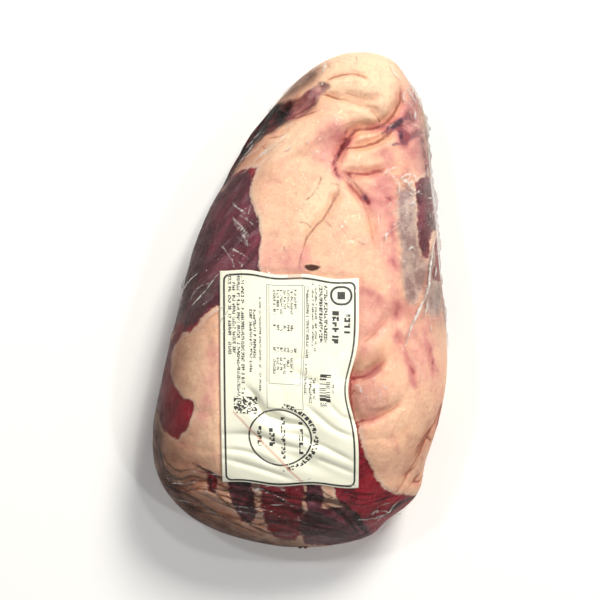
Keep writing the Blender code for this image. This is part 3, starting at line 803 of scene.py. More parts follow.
class StageSettings(bpy.types.PropertyGroup):
    """Camera and light"""

    camera_height: number_setting(
        "Camera height", "Height of the camera above the floor", 1.19, 0.3, 5, **LENGTH
    )
    view_across: number_setting(
        "View across", "Width that the picture spans at mid height", 0.4272, 0.1, 2, **LENGTH
    )
    key: number_setting("Key light", "Power of the key light", 155, 0, 500, unit="POWER")
    glint: number_setting(
        "Glint lights", "Power of each small light that the film mirrors", 2, 0, 50, unit="POWER"
    )
    ambient: number_setting("Ambient light", "Strength of the light from all round", 0.22, 0, 5)
    floor: colour_setting("Floor", "Colour of the floor", (0.92, 0.92, 0.92))


# ---- The form as a function of the share of the length and the angle round the section ----
def smooth_step(low, high, value):
    """0 below low, 1 above high, and a smooth S between."""
    share = np.clip((value - low) / (high - low), 0, 1)
    return share * share * (3 - 2 * share)


def closed_curve(values, at):
    """A smooth closed curve (a periodic cubic spline) through values, read at places counted in values."""
    count = len(values)
    one = np.eye(count)
    turns = 4 * one + np.roll(one, 1, 0) + np.roll(one, -1, 0)
    slopes = np.linalg.solve(turns, 3 * (np.roll(values, -1) - np.roll(values, 1)))
    first = np.floor(at).astype(int) % count
    second = (first + 1) % count
    f = at - np.floor(at)
    start = values[first] * (1 + 2 * f) * (1 - f) ** 2 + slopes[first] * f * (1 - f) ** 2
    end = values[second] * f * f * (3 - 2 * f) + slopes[second] * f * f * (f - 1)
    return start + end


def opposite_edges(one_side, other_side, along):
    """Two edges that meet in a round tip at each end, as the two sides of one closed curve."""
    loop = np.concatenate([one_side, other_side[-2:0:-1]])
    last = len(one_side) - 1
    return closed_curve(loop, along * last), closed_curve(loop, (2 * last - along * last) % (2 * last))


def sections(along):
    """Place along Y, left, right, top and bottom of the section at each share of the length."""
    place, _ = opposite_edges(STATIONS[:, 0], STATIONS[:, 0], along)
    left, right = opposite_edges(STATIONS[:, 1], STATIONS[:, 2], along)
    top, bottom = opposite_edges(STATIONS[:, 3], STATIONS[:, 4], along)
    return place, left, right, top, bottom


def even_rows(count):
    """Shares of the length whose sections are evenly spaced along the outline in plan."""
    fine = np.linspace(0, 1, 2001)
    place, left, right, _, _ = sections(fine)
    steps = np.hypot(np.diff(place), 0.5 * np.diff(right - left))
    walked = np.concatenate([[0], np.cumsum(steps)])
    return np.interp(np.linspace(0, walked[-1], count), walked, fine)


def curve_through(corners, closed=False):
    """A Catmull-Rom curve through the corners, as points."""
    ends = np.array(corners, float).reshape(-1, 2)
    if closed:
        chain = np.vstack([ends[-1:], ends, ends[:2]])
    else:
        chain = np.vstack([2 * ends[0] - ends[1], ends, 2 * ends[-1] - ends[-2]])
    steps = ROUTE_STEPS // 2 if closed else ROUTE_STEPS
    t = np.linspace(0, 1, steps, endpoint=False)[:, None]
    pieces = []
    for before, start, end, after in zip(chain, chain[1:], chain[2:], chain[3:]):
        bend = 2 * before - 5 * start + 4 * end - after
        twist = 3 * (start - end) + after - before
        pieces.append(start + 0.5 * t * (end - before + t * (bend + t * twist)))
    return np.vstack(pieces + [ends[:1] if closed else ends[-1:]])


def near_line(x, y, points, reach):
    """Distance to a line of points, no more than reach, the share of the line at its nearest place, and
    1 to the left of the line's way and -1 to its right."""
    away = np.full(x.shape, float(reach))
    place = np.zeros(x.shape)
    side = np.ones(x.shape)
    low = points.min(axis=0) - reach
    high = points.max(axis=0) + reach
    near = (x > low[0]) & (x < high[0]) & (y > low[1]) & (y < high[1])
    if not near.any():
        return away, place, side
    start = points[:-1]
    step = points[1:] - start
    offset_x = x[near][:, None] - start[:, 0]
    offset_y = y[near][:, None] - start[:, 1]
    size = (step ** 2).sum(axis=1) + 1e-9
    t = np.clip((offset_x * step[:, 0] + offset_y * step[:, 1]) / size, 0, 1)
    gap = np.hypot(offset_x - t * step[:, 0], offset_y - t * step[:, 1])
    nearest = gap.argmin(axis=1)
    row = np.arange(len(nearest))
    away[near] = np.minimum(gap[row, nearest], reach)
    place[near] = (nearest + t[row, nearest]) / len(step)
    turn = step[nearest, 0] * offset_y[row, nearest] - step[nearest, 1] * offset_x[row, nearest]
    side[near] = np.where(turn < 0, -1, 1)
    return away, place, side


def groove(x, y, half_width, corners, lean_over=0):
    """Distance to a route in half widths, and the route's strength there, which runs out at both ends.

    Leaning over makes the fold wider to the left of the route's way and narrower to its right.
    """
    away, share, side = near_line(x, y, curve_through(corners), GROOVE_REACH * half_width)
    runout = smooth_step(0, FOLD_END_SHARE, np.minimum(share, 1 - share))
    wider = 1 + lean_over * side
    return away / half_width / wider, FOLD_END_STRENGTH + (1 - FOLD_END_STRENGTH) * runout


def bell(x, y, height, centre_x, centre_y, across, along, turn):
    """A rounded bell on a turned oval."""
    angle = math.radians(turn)
    u = (x - centre_x) * math.cos(angle) + (y - centre_y) * math.sin(angle)
    v = (y - centre_y) * math.cos(angle) - (x - centre_x) * math.sin(angle)
    return height * np.exp(-(u / across) ** 2 - (v / along) ** 2)


def bells(x, y, table):
    return sum(bell(x, y, *row) for row in table)


def fold_relief(x, y, table, depth_share=1, width_share=1, cut=0):
    """Height given by a table of folds: rounded grooves, with a share cut of each depth as a sharp V."""
    height = np.zeros_like(x)
    for depth, half_width, _, _, corners in table:
        away, strength = groove(x, y, half_width * width_share, corners)
        if depth > 0 and cut > 0:
            runout = np.maximum(1 - CUT_RUNOUT * (1 - strength), 0)
            strength = strength * (1 - cut) + cut * runout
        sharp = cut if depth > 0 else 0
        shape = (1 - sharp) * np.exp(-away ** 2)
        if sharp:
            away, _ = groove(x, y, half_width * width_share, corners, LEAN_OVER)
            shape += sharp * np.exp((CUT_ROUND - np.hypot(away, CUT_ROUND)) / CUT_WIDTH)
        height -= depth * depth_share * strength * shape
    return height


def inside(x, y, corners):
    """Signed distance to a smooth closed outline, positive inside, where a ray crosses it oddly."""
    points = curve_through(corners, closed=True)
    away, _, _ = near_line(x, y, points, PATCH_REACH)
    low = points.min(axis=0)
    high = points.max(axis=0)
    near = (x > low[0]) & (x < high[0]) & (y > low[1]) & (y < high[1])
    crossed = np.zeros(x.shape, bool)
    if near.any():
        x0, y0 = points[:-1, 0], points[:-1, 1]
        x1, y1 = points[1:, 0], points[1:, 1]
        px, py = x[near][:, None], y[near][:, None]
        spans = (y0 > py) != (y1 > py)
        at = x0 + (py - y0) * (x1 - x0) / np.where(y1 == y0, 1e-9, y1 - y0)
        crossed[near] = (spans & (px < at)).sum(axis=1) % 2 == 1
    return np.where(crossed, away, -away)


def soft_noise(points, size, seed):
    """Smooth noise from -1 to 1: random heights on a cubic lattice, blended with an S between corners."""
    lattice = np.random.default_rng(seed).uniform(-1, 1, (LATTICE, LATTICE, LATTICE))
    scaled = points / size + LATTICE
    corner = np.floor(scaled).astype(int)
    f = scaled - corner
    f = f * f * (3 - 2 * f)
    total = np.zeros(points.shape[:-1])
    for step in np.ndindex(2, 2, 2):
        share = np.prod(np.where(step, f, 1 - f), axis=-1)
        i, j, k = np.moveaxis((corner + step) % LATTICE, -1, 0)
        total += share * lattice[i, j, k]
    return total


def noises(points, table, shift=0):
    """Sum of the noises of a table of height, size and seed."""
    return sum(height * soft_noise(points, size, seed + shift) for height, size, seed in table)


def crests(points, stretch, size, seed, sharpness):
    """Sharp crests from 0 to 1, along the places where a noise passes through 0."""
    return (1 - np.abs(soft_noise(points * stretch, size, seed))) ** sharpness


def under_label(x, y):
    """1 under the label and 0 a little outside it."""
    corners = [LABEL_CORNERS[i] for i in (0, 1, 3, 2)]
    low_x = np.interp(y, (corners[2][1], corners[1][1]), (corners[3][0], corners[0][0]))
    high_x = np.interp(y, (corners[2][1], corners[1][1]), (corners[2][0], corners[1][0]))
    dip = LABEL_TUCK[0] * np.exp(-((y - LABEL_TUCK[1]) / LABEL_TUCK[2]) ** 2)
    share = np.clip((x - low_x) / (high_x - low_x), 0, 1)
    top = corners[0][1] + (corners[1][1] - corners[0][1]) * share
    low = corners[3][1] + (corners[2][1] - corners[3][1]) * share
    nearest = np.minimum(np.minimum(x - low_x, high_x - dip - x), np.minimum(top - y, y - low))
    return smooth_step(-LABEL_SOFT_EDGE, 0, nearest)


def base_relief(x, y, depth_share=1, width_share=1, cut=0):
    """The relief that all the pieces follow: swellings, folds, and the label's own creases near it."""
    height = bells(x, y, SWELLINGS) + fold_relief(x, y, FOLDS, depth_share, width_share, cut)
    creases = np.zeros_like(x)
    for depth, half_width, corners in LABEL_FOLDS:
        away, strength = groove(x, y, half_width, corners)
        shape = (1 - LABEL_CUT) * np.exp(-away ** 2) + LABEL_CUT * np.exp(-away / CUT_WIDTH)
        creases -= depth * strength * shape
    return height + creases * under_label(x, y)


def form_grid():
    """The plain form on a grid: each array has a row for each section and a column for each angle."""
    along = even_rows(GRID_ROWS + 2)[:, None]
    place, left, right, top, bottom = sections(along)
    upper = np.linspace(0, math.pi, GRID_UPPER, endpoint=False)
    lower = np.linspace(math.pi, math.tau, GRID_LOWER, endpoint=False)
    angle = np.concatenate([upper, lower])[None, :]
    power = np.where(angle <= math.pi, UPPER_POWER, LOWER_POWER)
    across = np.sign(np.cos(angle)) * np.abs(np.cos(angle)) ** (2 / power)
    rise = np.sign(np.sin(angle)) * np.abs(np.sin(angle)) ** (2 / power)
    rim = bottom + WIDEST_SHARE * (top - bottom)
    x = 0.5 * (left + right) + 0.5 * (right - left) * across
    y = np.broadcast_to(place, x.shape)
    z = rim + np.where(rise > 0, top - rim, rim - bottom) * rise
    under = np.broadcast_to(angle > math.pi, x.shape)
    edge = np.where(across < 0, left, right)
    step = np.hypot(np.diff(x, axis=1, prepend=x[:, :1]), np.diff(z, axis=1, prepend=z[:, :1]))
    from_left = np.cumsum(np.where(under, step, 0), axis=1)
    below = np.where(under, np.minimum(from_left, from_left[:, -1:] - from_left), 0)
    plan_x = np.where(under, edge, x)
    points = np.stack([x, y, z], axis=-1)
    loose = 1 - under_label(x, y)
    sway_x = noises(points, WAVER) * loose
    sway_y = noises(points, WAVER, 1) * loose
    steep = np.maximum(smooth_step(0, 14, below), 0.6 * smooth_step(*SIDE_FROM, np.abs(across)))
    sway_y += noises(points, [SIDE_WAVER]) * steep
    below = below + noises(points, [DOWN_WAVER]) * smooth_step(0, 8, below)
    return SimpleNamespace(
        along=np.broadcast_to(along, x.shape), angle=np.broadcast_to(angle, x.shape), across=across,
        rise=rise, x=x, y=y, z=z, plan_x=plan_x, under=under, below=below,
        wavy_x=plan_x + sway_x, wavy_y=y + sway_y, fade=smooth_step(0, FADE_TO_RIM, rise),
    )


def seam_depth(form):
    """How far the sides are drawn in where two muscles meet."""
    depth = np.zeros_like(form.x)
    for start, end, deep, half_width in SEAMS:
        sway = SEAM_SWAY * np.sin(SEAM_SWAYS * math.tau * form.along + start)
        centre = start + (end - start) * form.along + sway
        away = (np.degrees(form.angle) - centre + 180) % 360 - 180
        depth += deep * np.exp(-(away / half_width) ** 2)
    return depth * smooth_step(0, SEAM_RUNOUT, np.minimum(form.along, 1 - form.along))


def raised(form, relief):
    """The form with a relief on its upper side and its side seams pressed in, as points."""
    drawn_in = seam_depth(form)
    x = form.x - drawn_in * form.across
    z = np.maximum(form.z + relief * form.fade - drawn_in * form.rise, 0)
    return np.stack([x, form.y, z], axis=-1)


def outward(points):
    """Unit normals of a grid that closes round its columns: the cross product of its two slopes."""
    round_section = np.roll(points, -1, axis=1) - np.roll(points, 1, axis=1)
    lengthwise = np.gradient(points, axis=0)
    normal = np.cross(round_section, lengthwise)
    size = np.linalg.norm(normal, axis=-1, keepdims=True)
    normal = normal / np.maximum(size, 1e-9)
    normal[0] = (0, 1, 0)
    normal[-1] = (0, -1, 0)
    return normal


def patch_distance(form, table):
    """Signed distance to the nearest edge of a table's patches, which end at their depth below the rim."""
    best = np.full(form.x.shape, -PATCH_REACH)
    for reach, corners in table:
        plan = inside(form.wavy_x, form.wavy_y, corners)
        down = np.where(form.under, reach - form.below, PATCH_REACH)
        best = np.maximum(best, np.minimum(plan, down))
    return np.clip(best, -PATCH_REACH, PATCH_REACH)


def side_distance(form, purple_only=False):
    """Rough signed distance to the oval patches of the sides and the back."""
    best = np.full(form.x.shape, -PATCH_REACH)
    for angle, place, half_angle, half_length, purple in SIDE_PATCHES:
        turn = (np.degrees(form.angle) - angle + 180) % 360 - 180
        share = np.hypot(turn / half_angle, (form.y - place) / half_length)
        size = 0.7 * half_length * (purple if purple_only else 1)
        best = np.maximum(best, (1 - share) * size if size else best)
    return np.clip(best, -PATCH_REACH, PATCH_REACH)


def line_strength(form, table):
    """Sum of the soft lines of a table of strength, half width and route, on the upper side."""
    total = np.zeros_like(form.x)
    for strength, half_width, corners in table:
        away, ends = groove(form.wavy_x, form.wavy_y, half_width, corners)
        total += strength * ends * np.exp(-away ** 2)
    return np.clip(total * ~form.under, 0, 1.5)


def nearest_line(x, y, table, across=False):
    """Signed distance to the nearest of a table's lines, positive within a half width that runs out.

    Across gives the distance from that line's middle instead, positive to its left, negative to its right.
    """
    best = np.full(x.shape, -LINE_REACH)
    from_middle = np.full(x.shape, LINE_REACH)
    for half_width, corners in table:
        away, share, side = near_line(x, y, curve_through(corners), LINE_REACH + half_width)
        runout = smooth_step(0, FOLD_END_SHARE, np.minimum(share, 1 - share))
        within = half_width * (FOLD_END_STRENGTH + (1 - FOLD_END_STRENGTH) * runout) - away
        from_middle = np.where(within > best, away * side, from_middle)
        best = np.maximum(best, within)
    return from_middle if across else best


def line_distance(form, table, across=False):
    """The distance of nearest_line on the upper side, and none below it."""
    return np.where(form.under, -LINE_REACH, nearest_line(form.wavy_x, form.wavy_y, table, across))


def fan_shadows():
    """Thin shadows that run out from FAN_POINT, bowed so that they spread along the rim."""
    count, first, last, bow = SHADOW_FAN
    for turn, near, far, wide in np.random.default_rng(83).uniform(0, 1, (count, 4)):
        distance = np.linspace(14 + 40 * near, 80 + 75 * far, 5)
        middle = 0.5 * (first + last)
        angle = first + (last - first) * turn
        angle = np.radians(angle + bow * (middle - angle) / (last - middle) * distance / 100)
        x = FAN_POINT[0] + distance * np.cos(angle)
        y = FAN_POINT[1] + distance * np.sin(angle)
        yield 0.25 + 0.4 * wide, tuple(zip(x, y))


def crease_lines():
    """The dark lines at the bottom of the coloured folds, painted shade that is red where the fold holds
    blood: half width, which the colour widens, and route.
    """
    for _, _, red, fold_shade, corners in FOLDS + FINE_FOLDS:
        if red + fold_shade > 0:
            yield CREASE_WIDTH * (0.3 + 0.7 * min(1, red + fold_shade)), corners


def fold_colour(form, column):
    """Sum of the folds' colour strengths: column 2 is how red, 3 is how much brown painted shade."""
    total = np.zeros_like(form.x)
    for row in FOLDS + FINE_FOLDS:
        if row[column] > 0:
            away, ends = groove(form.wavy_x, form.wavy_y, HALO_WIDTH, row[-1])
            total += row[column] * ends * np.exp(-away ** 2)
    return np.clip(total * ~form.under, 0, 1.5)


# ---- Meshes ----
def shell_object(name, points, values):
    """A closed object from a grid of rings, whose first and last rows are its tips, with attributes."""
    rows, columns = points.shape[0] - 2, points.shape[1]
    flat = np.vstack([points[1:-1].reshape(-1, 3), points[0, :1], points[-1, :1]])
    ring = np.arange(columns)
    beside = (ring + 1) % columns
    start = (np.arange(rows - 1) * columns)[:, None]
    quads = np.stack([ring, beside, columns + beside, columns + ring], axis=-1) + start[..., None]
    tip = rows * columns
    last = (rows - 1) * columns
    near_fan = np.stack([np.full(columns, tip), beside, ring], axis=-1)
    far_fan = np.stack([np.full(columns, tip + 1), last + ring, last + beside], axis=-1)
    mesh = bpy.data.meshes.new(name)
    faces = quads.reshape(-1, 4).tolist() + near_fan.tolist() + far_fan.tolist()
    mesh.from_pydata((flat * MM).tolist(), [], faces)
    mesh.shade_smooth()
    for key, grid in values.items():
        column = np.concatenate([grid[1:-1].ravel(), grid[0, :1], grid[-1, :1]])
        mesh.attributes.new(key, "FLOAT", "POINT").data.foreach_set("value", column.astype(np.float32))
    return linked(name, mesh)


def linked(name, data):
    """A new object that holds the data, in the scene."""
    item = bpy.data.objects.new(name, data)
    bpy.context.scene.collection.objects.link(item)
    return item


def hollows(form):
    """How far a point lies down in the folds, as a share of HOLLOW_DEPTH, for the painted shade there."""
    depth = fold_relief(form.wavy_x, form.wavy_y, FOLDS + FINE_FOLDS)
    return np.clip(-depth / HOLLOW_DEPTH, 0, 1) * ~form.under


def softened(grid):
    """A grid of heights, each weighed 2 to 1 against its neighbours, so that steep walls have no teeth."""
    for _ in range(SOFTENINGS):
        grid = (np.roll(grid, 1, axis=1) + 2 * grid + np.roll(grid, -1, axis=1)) / 4
        padded = np.concatenate([grid[:1], grid, grid[-1:]])
        grid = (padded[:-2] + 2 * grid + padded[2:]) / 4
    return grid


def meat_relief(form, pit):
    """The relief of the meat: all its folds with sharp creases, sunk where the film spans a hollow."""
    relief = base_relief(form.wavy_x, form.wavy_y, MEAT_FOLD_DEPTH, MEAT_FOLD_WIDTH, CUT_SHARE)
    relief += fold_relief(form.wavy_x, form.wavy_y, FINE_FOLDS, cut=CUT_SHARE)
    return softened(relief) - PIT_DEPTH * smooth_step(*PIT_WALL, pit)


def meat_piece(form):
    """The meat: the form with all its creases and lumps, sunk where lean is bare and under the label."""
    lean = np.maximum(patch_distance(form, LEAN_PATCHES), side_distance(form))
    pit = patch_distance(form, PIT_PATCHES)
    rim_at = patch_distance(form, RIM_PATCHES)
    points = raised(form, meat_relief(form, pit))
    normal = outward(points)
    lumps = noises(points, LUMPS) - DIMPLE_DEPTH * crests(points, *DIMPLES)
    grain = FIBRE_HEIGHT * soft_noise(points * FIBRE_STRETCH, *FIBRES)
    bare = smooth_step(-1.5, 1.5, lean)
    tight = 1 - SIDE_TIGHT * smooth_step(*TIGHT_FROM, np.abs(form.across))
    covered = under_label(form.x, form.y) * ~form.under
    inset = MEAT_INSET + LEAN_DROP * bare * (1 - covered) + LABEL_ROOM * covered
    moved = points + normal * ((lumps + grain * bare - inset) * tight)[..., None]
    moved[..., 2] = np.maximum(moved[..., 2], MEAT_INSET * 0.5)
    values = {
        "lean": lean,
        "purple": np.maximum(patch_distance(form, PURPLE_PATCHES), side_distance(form, purple_only=True)),
        "silver": patch_distance(form, SILVER_PATCHES),
        "pink": patch_distance(form, PINK_PATCHES),
        "cream": patch_distance(form, CREAM_PATCHES),
        "pit": np.maximum(pit, rim_at),
        "rim": rim_at,
        "speck": patch_distance(form, SPECK_PATCHES),
        # painted shade: how far the plain form faces the side that lies in shade
        "shade": (outward(raised(form, 0)) * SHADE_WAY).sum(axis=-1),
        "vessel": line_distance(form, VESSELS),
        "vessel_across": line_distance(form, VESSELS, across=True),
        "crease": line_distance(form, crease_lines()),
        "crease_across": line_distance(form, crease_lines(), across=True),
        "shadow": line_distance(form, SHADOWS + tuple(fan_shadows())),
        # painted shade on the rims
        "shaded_rim": patch_distance(form, SHADED_RIM_PATCHES),
        # browner fat and painted shade
        "browned_and_shaded": np.clip(bells(form.x, form.y, BROWNED_AND_SHADED), 0, 1) * ~form.under,
        "clot": bells(form.x, form.y, CLOTS) * ~form.under,
        "blood": line_strength(form, BLOOD) + bells(form.x, form.y, SOAKED) * ~form.under,
        "red": fold_colour(form, 2),
        # painted shade in the folds and their hollows
        "fold_shade": FOLD_SHADE * fold_colour(form, 3) + hollows(form),
    }
    return shell_object("meat", moved, values)


def upper_height(x, y):
    """Height of the plain form's upper side over points in plan."""
    shares = np.linspace(0, 1, 4001)
    places = sections(shares)[0]
    along = np.interp(y, places[::-1], shares[::-1])
    _, left, right, top, bottom = sections(along)
    across = np.clip((x - 0.5 * (left + right)) / (0.5 * (right - left)), -1, 1)
    rim = bottom + WIDEST_SHARE * (top - bottom)
    rise = (1 - np.abs(across) ** UPPER_POWER) ** (1 / UPPER_POWER)
    return rim + (top - rim) * rise


def sheet_plan():
    """The label's points in plan and on the flat sheet: a blend between its corners, tucked at the right."""
    top_left, top_right, low_left, low_right = (np.array(corner) for corner in LABEL_CORNERS)
    across = np.linspace(0, 1, LABEL_COLUMNS + 1)[None, :, None]
    down = np.linspace(0, 1, LABEL_ROWS + 1)[:, None, None]
    upper = top_left + (top_right - top_left) * across
    lower = low_left + (low_right - low_left) * across
    plan = upper + (lower - upper) * down
    tuck, place, reach = LABEL_TUCK
    dip = tuck * np.exp(-((plan[..., 1] - place) / reach) ** 2)
    plan[..., 0] -= dip * np.broadcast_to(across[..., 0], dip.shape) ** 3
    for (rise, waves, start, fall), from_edge in ((UPPER_WAVES, down), (LOWER_WAVES, 1 - down)):
        plan[..., 1] += rise * np.sin(waves * plan[..., 0] + start) * (1 - from_edge[..., 0]) ** fall
    sheet = np.zeros(plan.shape[:2] + (3,))
    sheet[..., 0] = across[..., 0] * SHEET_ACROSS
    sheet[..., 1] = down[..., 0] * SHEET_DOWN
    return plan, sheet


def label_piece(thickness):
    """A closed sheet: an upper face on the form and its folds, the same face below it, and a rim between."""
    plan, sheet = sheet_plan()
    x, y = plan[..., 0], plan[..., 1]
    height = upper_height(x, y) + base_relief(x, y, FILM_FOLD_DEPTH, FILM_FOLD_WIDTH)
    face = np.stack([x, y, height - LABEL_INSET], axis=-1)
    crumple = CRUMPLE_DEPTH * crests(face, *CRUMPLES) * bell(x, y, *CRUMPLED)
    face[..., 2] += PAPER_DENT * soft_noise(face, *PAPER_DENTS) - crumple
    rows, columns = x.shape
    count = rows * columns
    points = np.vstack([face.reshape(-1, 3), face.reshape(-1, 3) - (0, 0, thickness / MM)])
    grid = np.arange(count).reshape(rows, columns)
    upper = np.stack([grid[:-1, :-1], grid[1:, :-1], grid[1:, 1:], grid[:-1, 1:]], axis=-1).reshape(-1, 4)
    border = np.concatenate([grid[0, :-1], grid[:-1, -1], grid[-1, :0:-1], grid[:0:-1, 0]])
    beside = np.roll(border, -1)
    rim = np.stack([border, beside, beside + count, border + count], axis=-1)
    mesh = bpy.data.meshes.new("label_sheet")
    faces = np.vstack([upper, upper[:, ::-1] + count, rim])
    mesh.from_pydata((points * MM).tolist(), [], faces.tolist())
    mesh.shade_smooth()
    on_sheet = np.vstack([sheet.reshape(-1, 3), sheet.reshape(-1, 3)]).astype(np.float32)
    mesh.attributes.new("sheet", "FLOAT_VECTOR", "POINT").data.foreach_set("vector", on_sheet.ravel())
    return linked("label_sheet", mesh)


def fan(x, y, point, wander, folds, sharpness):
    """Sharp-crested folds that run together at a point: a wave of the angle seen from that point."""
    angle = np.arctan2(y - point[1], x - point[0])
    wave = np.sin(folds * angle + wander)
    return (1 - np.abs(wave)) ** sharpness


def crinkle_routes():
    """Short bowed lines scattered over the patches of CRINKLES: height, half width, whiteness (whitened film
    and painted glints) and route.
    """
    draw = np.random.default_rng(71)
    for count, centre_x, centre_y, across, along, turn, way, spread, short, long, height, white in CRINKLES:
        angle = math.radians(turn)
        for u, v, aim, length, bow, rise, shine in draw.uniform(-1, 1, (count, 7)):
            x = centre_x + u * across * math.cos(angle) - v * along * math.sin(angle)
            y = centre_y + u * across * math.sin(angle) + v * along * math.cos(angle)
            if way is FAN:
                towards = math.atan2(FAN_POINT[1] - y, FAN_POINT[0] - x)
            else:
                towards = math.radians(way)
            towards += math.radians(spread) * aim
            half = 0.25 * (short + long + (long - short) * length)
            step = np.array((math.cos(towards), math.sin(towards)))
            side = np.array((-step[1], step[0])) * bow * CRINKLE_BEND * 2 * half
            middle = np.array((x, y))
            route = (middle - half * step, middle + side, middle + half * step)
            yield height * (0.7 + 0.3 * rise), 0.9 + 0.25 * bow, white * max(0, shine), route


def side_fade(form):
    """1 on the upper side, and a bell of the way down below the widest level."""
    return np.where(form.under, np.exp(-(form.below / SIDE_FADE) ** 2), 1)


def upper_bells(form, table):
    """The bells of a table, from 0 to 1, which fade out down the sides."""
    return np.clip(bells(form.plan_x, form.y, table) * side_fade(form), 0, 1)


def film_ridges(form, lines):
    """Height of the film's ridges and crinkles: sharpish crests along their routes, none below the rim."""
    height = np.zeros_like(form.x)
    for rise, half_width, _, corners in lines:
        away, strength = groove(form.plan_x, form.y, half_width, corners)
        height += rise * strength * np.exp(-away ** RIDGE_POWER)
    return np.where(form.under, 0, height)


def film_fans(form, points):
    """Height of the two fans of folds, at the wide end and beside the label."""
    x, y = form.plan_x, form.y
    fade = side_fade(form)
    wander = noises(points, FOLD_WANDER)
    at_end = smooth_step(*FAN_ALONG, y) * smooth_step(*FAN_ACROSS, x) * fade
    height = FAN_HEIGHT * at_end * fan(x, y, FAN_POINT, wander, *FAN_FOLDS)
    from_knot = np.hypot(x - KNOT_POINT[0], y - KNOT_POINT[1])
    at_knot = smooth_step(*KNOT_FAR, from_knot) * smooth_step(*KNOT_NEAR, from_knot)
    at_knot *= smooth_step(*KNOT_ALONG, y - KNOT_POINT[1]) * fade
    return height + KNOT_HEIGHT * at_knot * fan(x, y, KNOT_POINT, wander, *KNOT_FOLDS)


def film_wrinkles(points, slack):
    """Height of the fine and broad wrinkles: crests of two noises, on points that other noises bend."""
    bend = [soft_noise(points, FILM_BEND_SIZE, seed) for seed in FILM_BEND_SEEDS]
    bent = points + FILM_BEND * np.stack(bend, axis=-1)
    fine = crests(bent, *FINE_WRINKLES)
    broad = crests(bent, *BROAD_WRINKLES)
    return slack * (FINE_HEIGHT * fine + BROAD_HEIGHT * broad) + TIGHT_HEIGHT * broad


def film_flaps(form, points):
    """How far the film's spare stands out, up to 1: a noise above its level, at the sides."""
    flaps = upper_bells(form, FLAPS) * smooth_step(*FLAP_FROM, np.abs(form.across))
    return flaps * np.clip(noises(points, FLAP_NOISES) - FLAP_LEVEL, -0.2, 1)


def film_piece(form):
    """The film: the form with its folds softened, and ridges, fans and wrinkles of its own."""
    relief = base_relief(form.x, form.y, FILM_FOLD_DEPTH, FILM_FOLD_WIDTH)
    under = meat_relief(form, patch_distance(form, PIT_PATCHES)) - MEAT_INSET
    points = raised(form, np.maximum(relief, under + FILM_CLEARANCE))
    normal = outward(points)
    slack = upper_bells(form, SLACK)
    lines = list(FILM_RIDGES) + list(crinkle_routes())
    flaps = film_flaps(form, points)
    height = film_ridges(form, lines) + film_fans(form, points) + film_wrinkles(points, slack)
    moved = points + normal * (height + FLAP_REACH * flaps - FILM_INSET)[..., None]
    moved[..., 2] = np.maximum(moved[..., 2], 0)
    # white lines along the crinkles: whitened film and painted glints
    marks = [(WHITE_WIDTH * whitening_and_glint, corners) for _, _, whitening_and_glint, corners in lines if whitening_and_glint > 0.1]
    white = np.where(form.under, -LINE_REACH, nearest_line(form.plan_x, form.y, marks))
    # painted shade where the film tilts away, and in its doubled flaps
    tilted = smooth_step(*EDGE_SHADE_TILT, np.hypot(normal[..., 0], normal[..., 1]))
    doubled = smooth_step(0, 0.35, flaps) * smooth_step(*DOUBLED_FROM, np.abs(form.across))
    edge_shade = np.maximum(tilted * upper_bells(form, EDGE_SHADE), FLAP_SHADE * doubled)
    values = {"slack": slack, "haze": upper_bells(form, HAZE), "white": white, "edge_shade": edge_shade}
    return shell_object("film", moved, values)


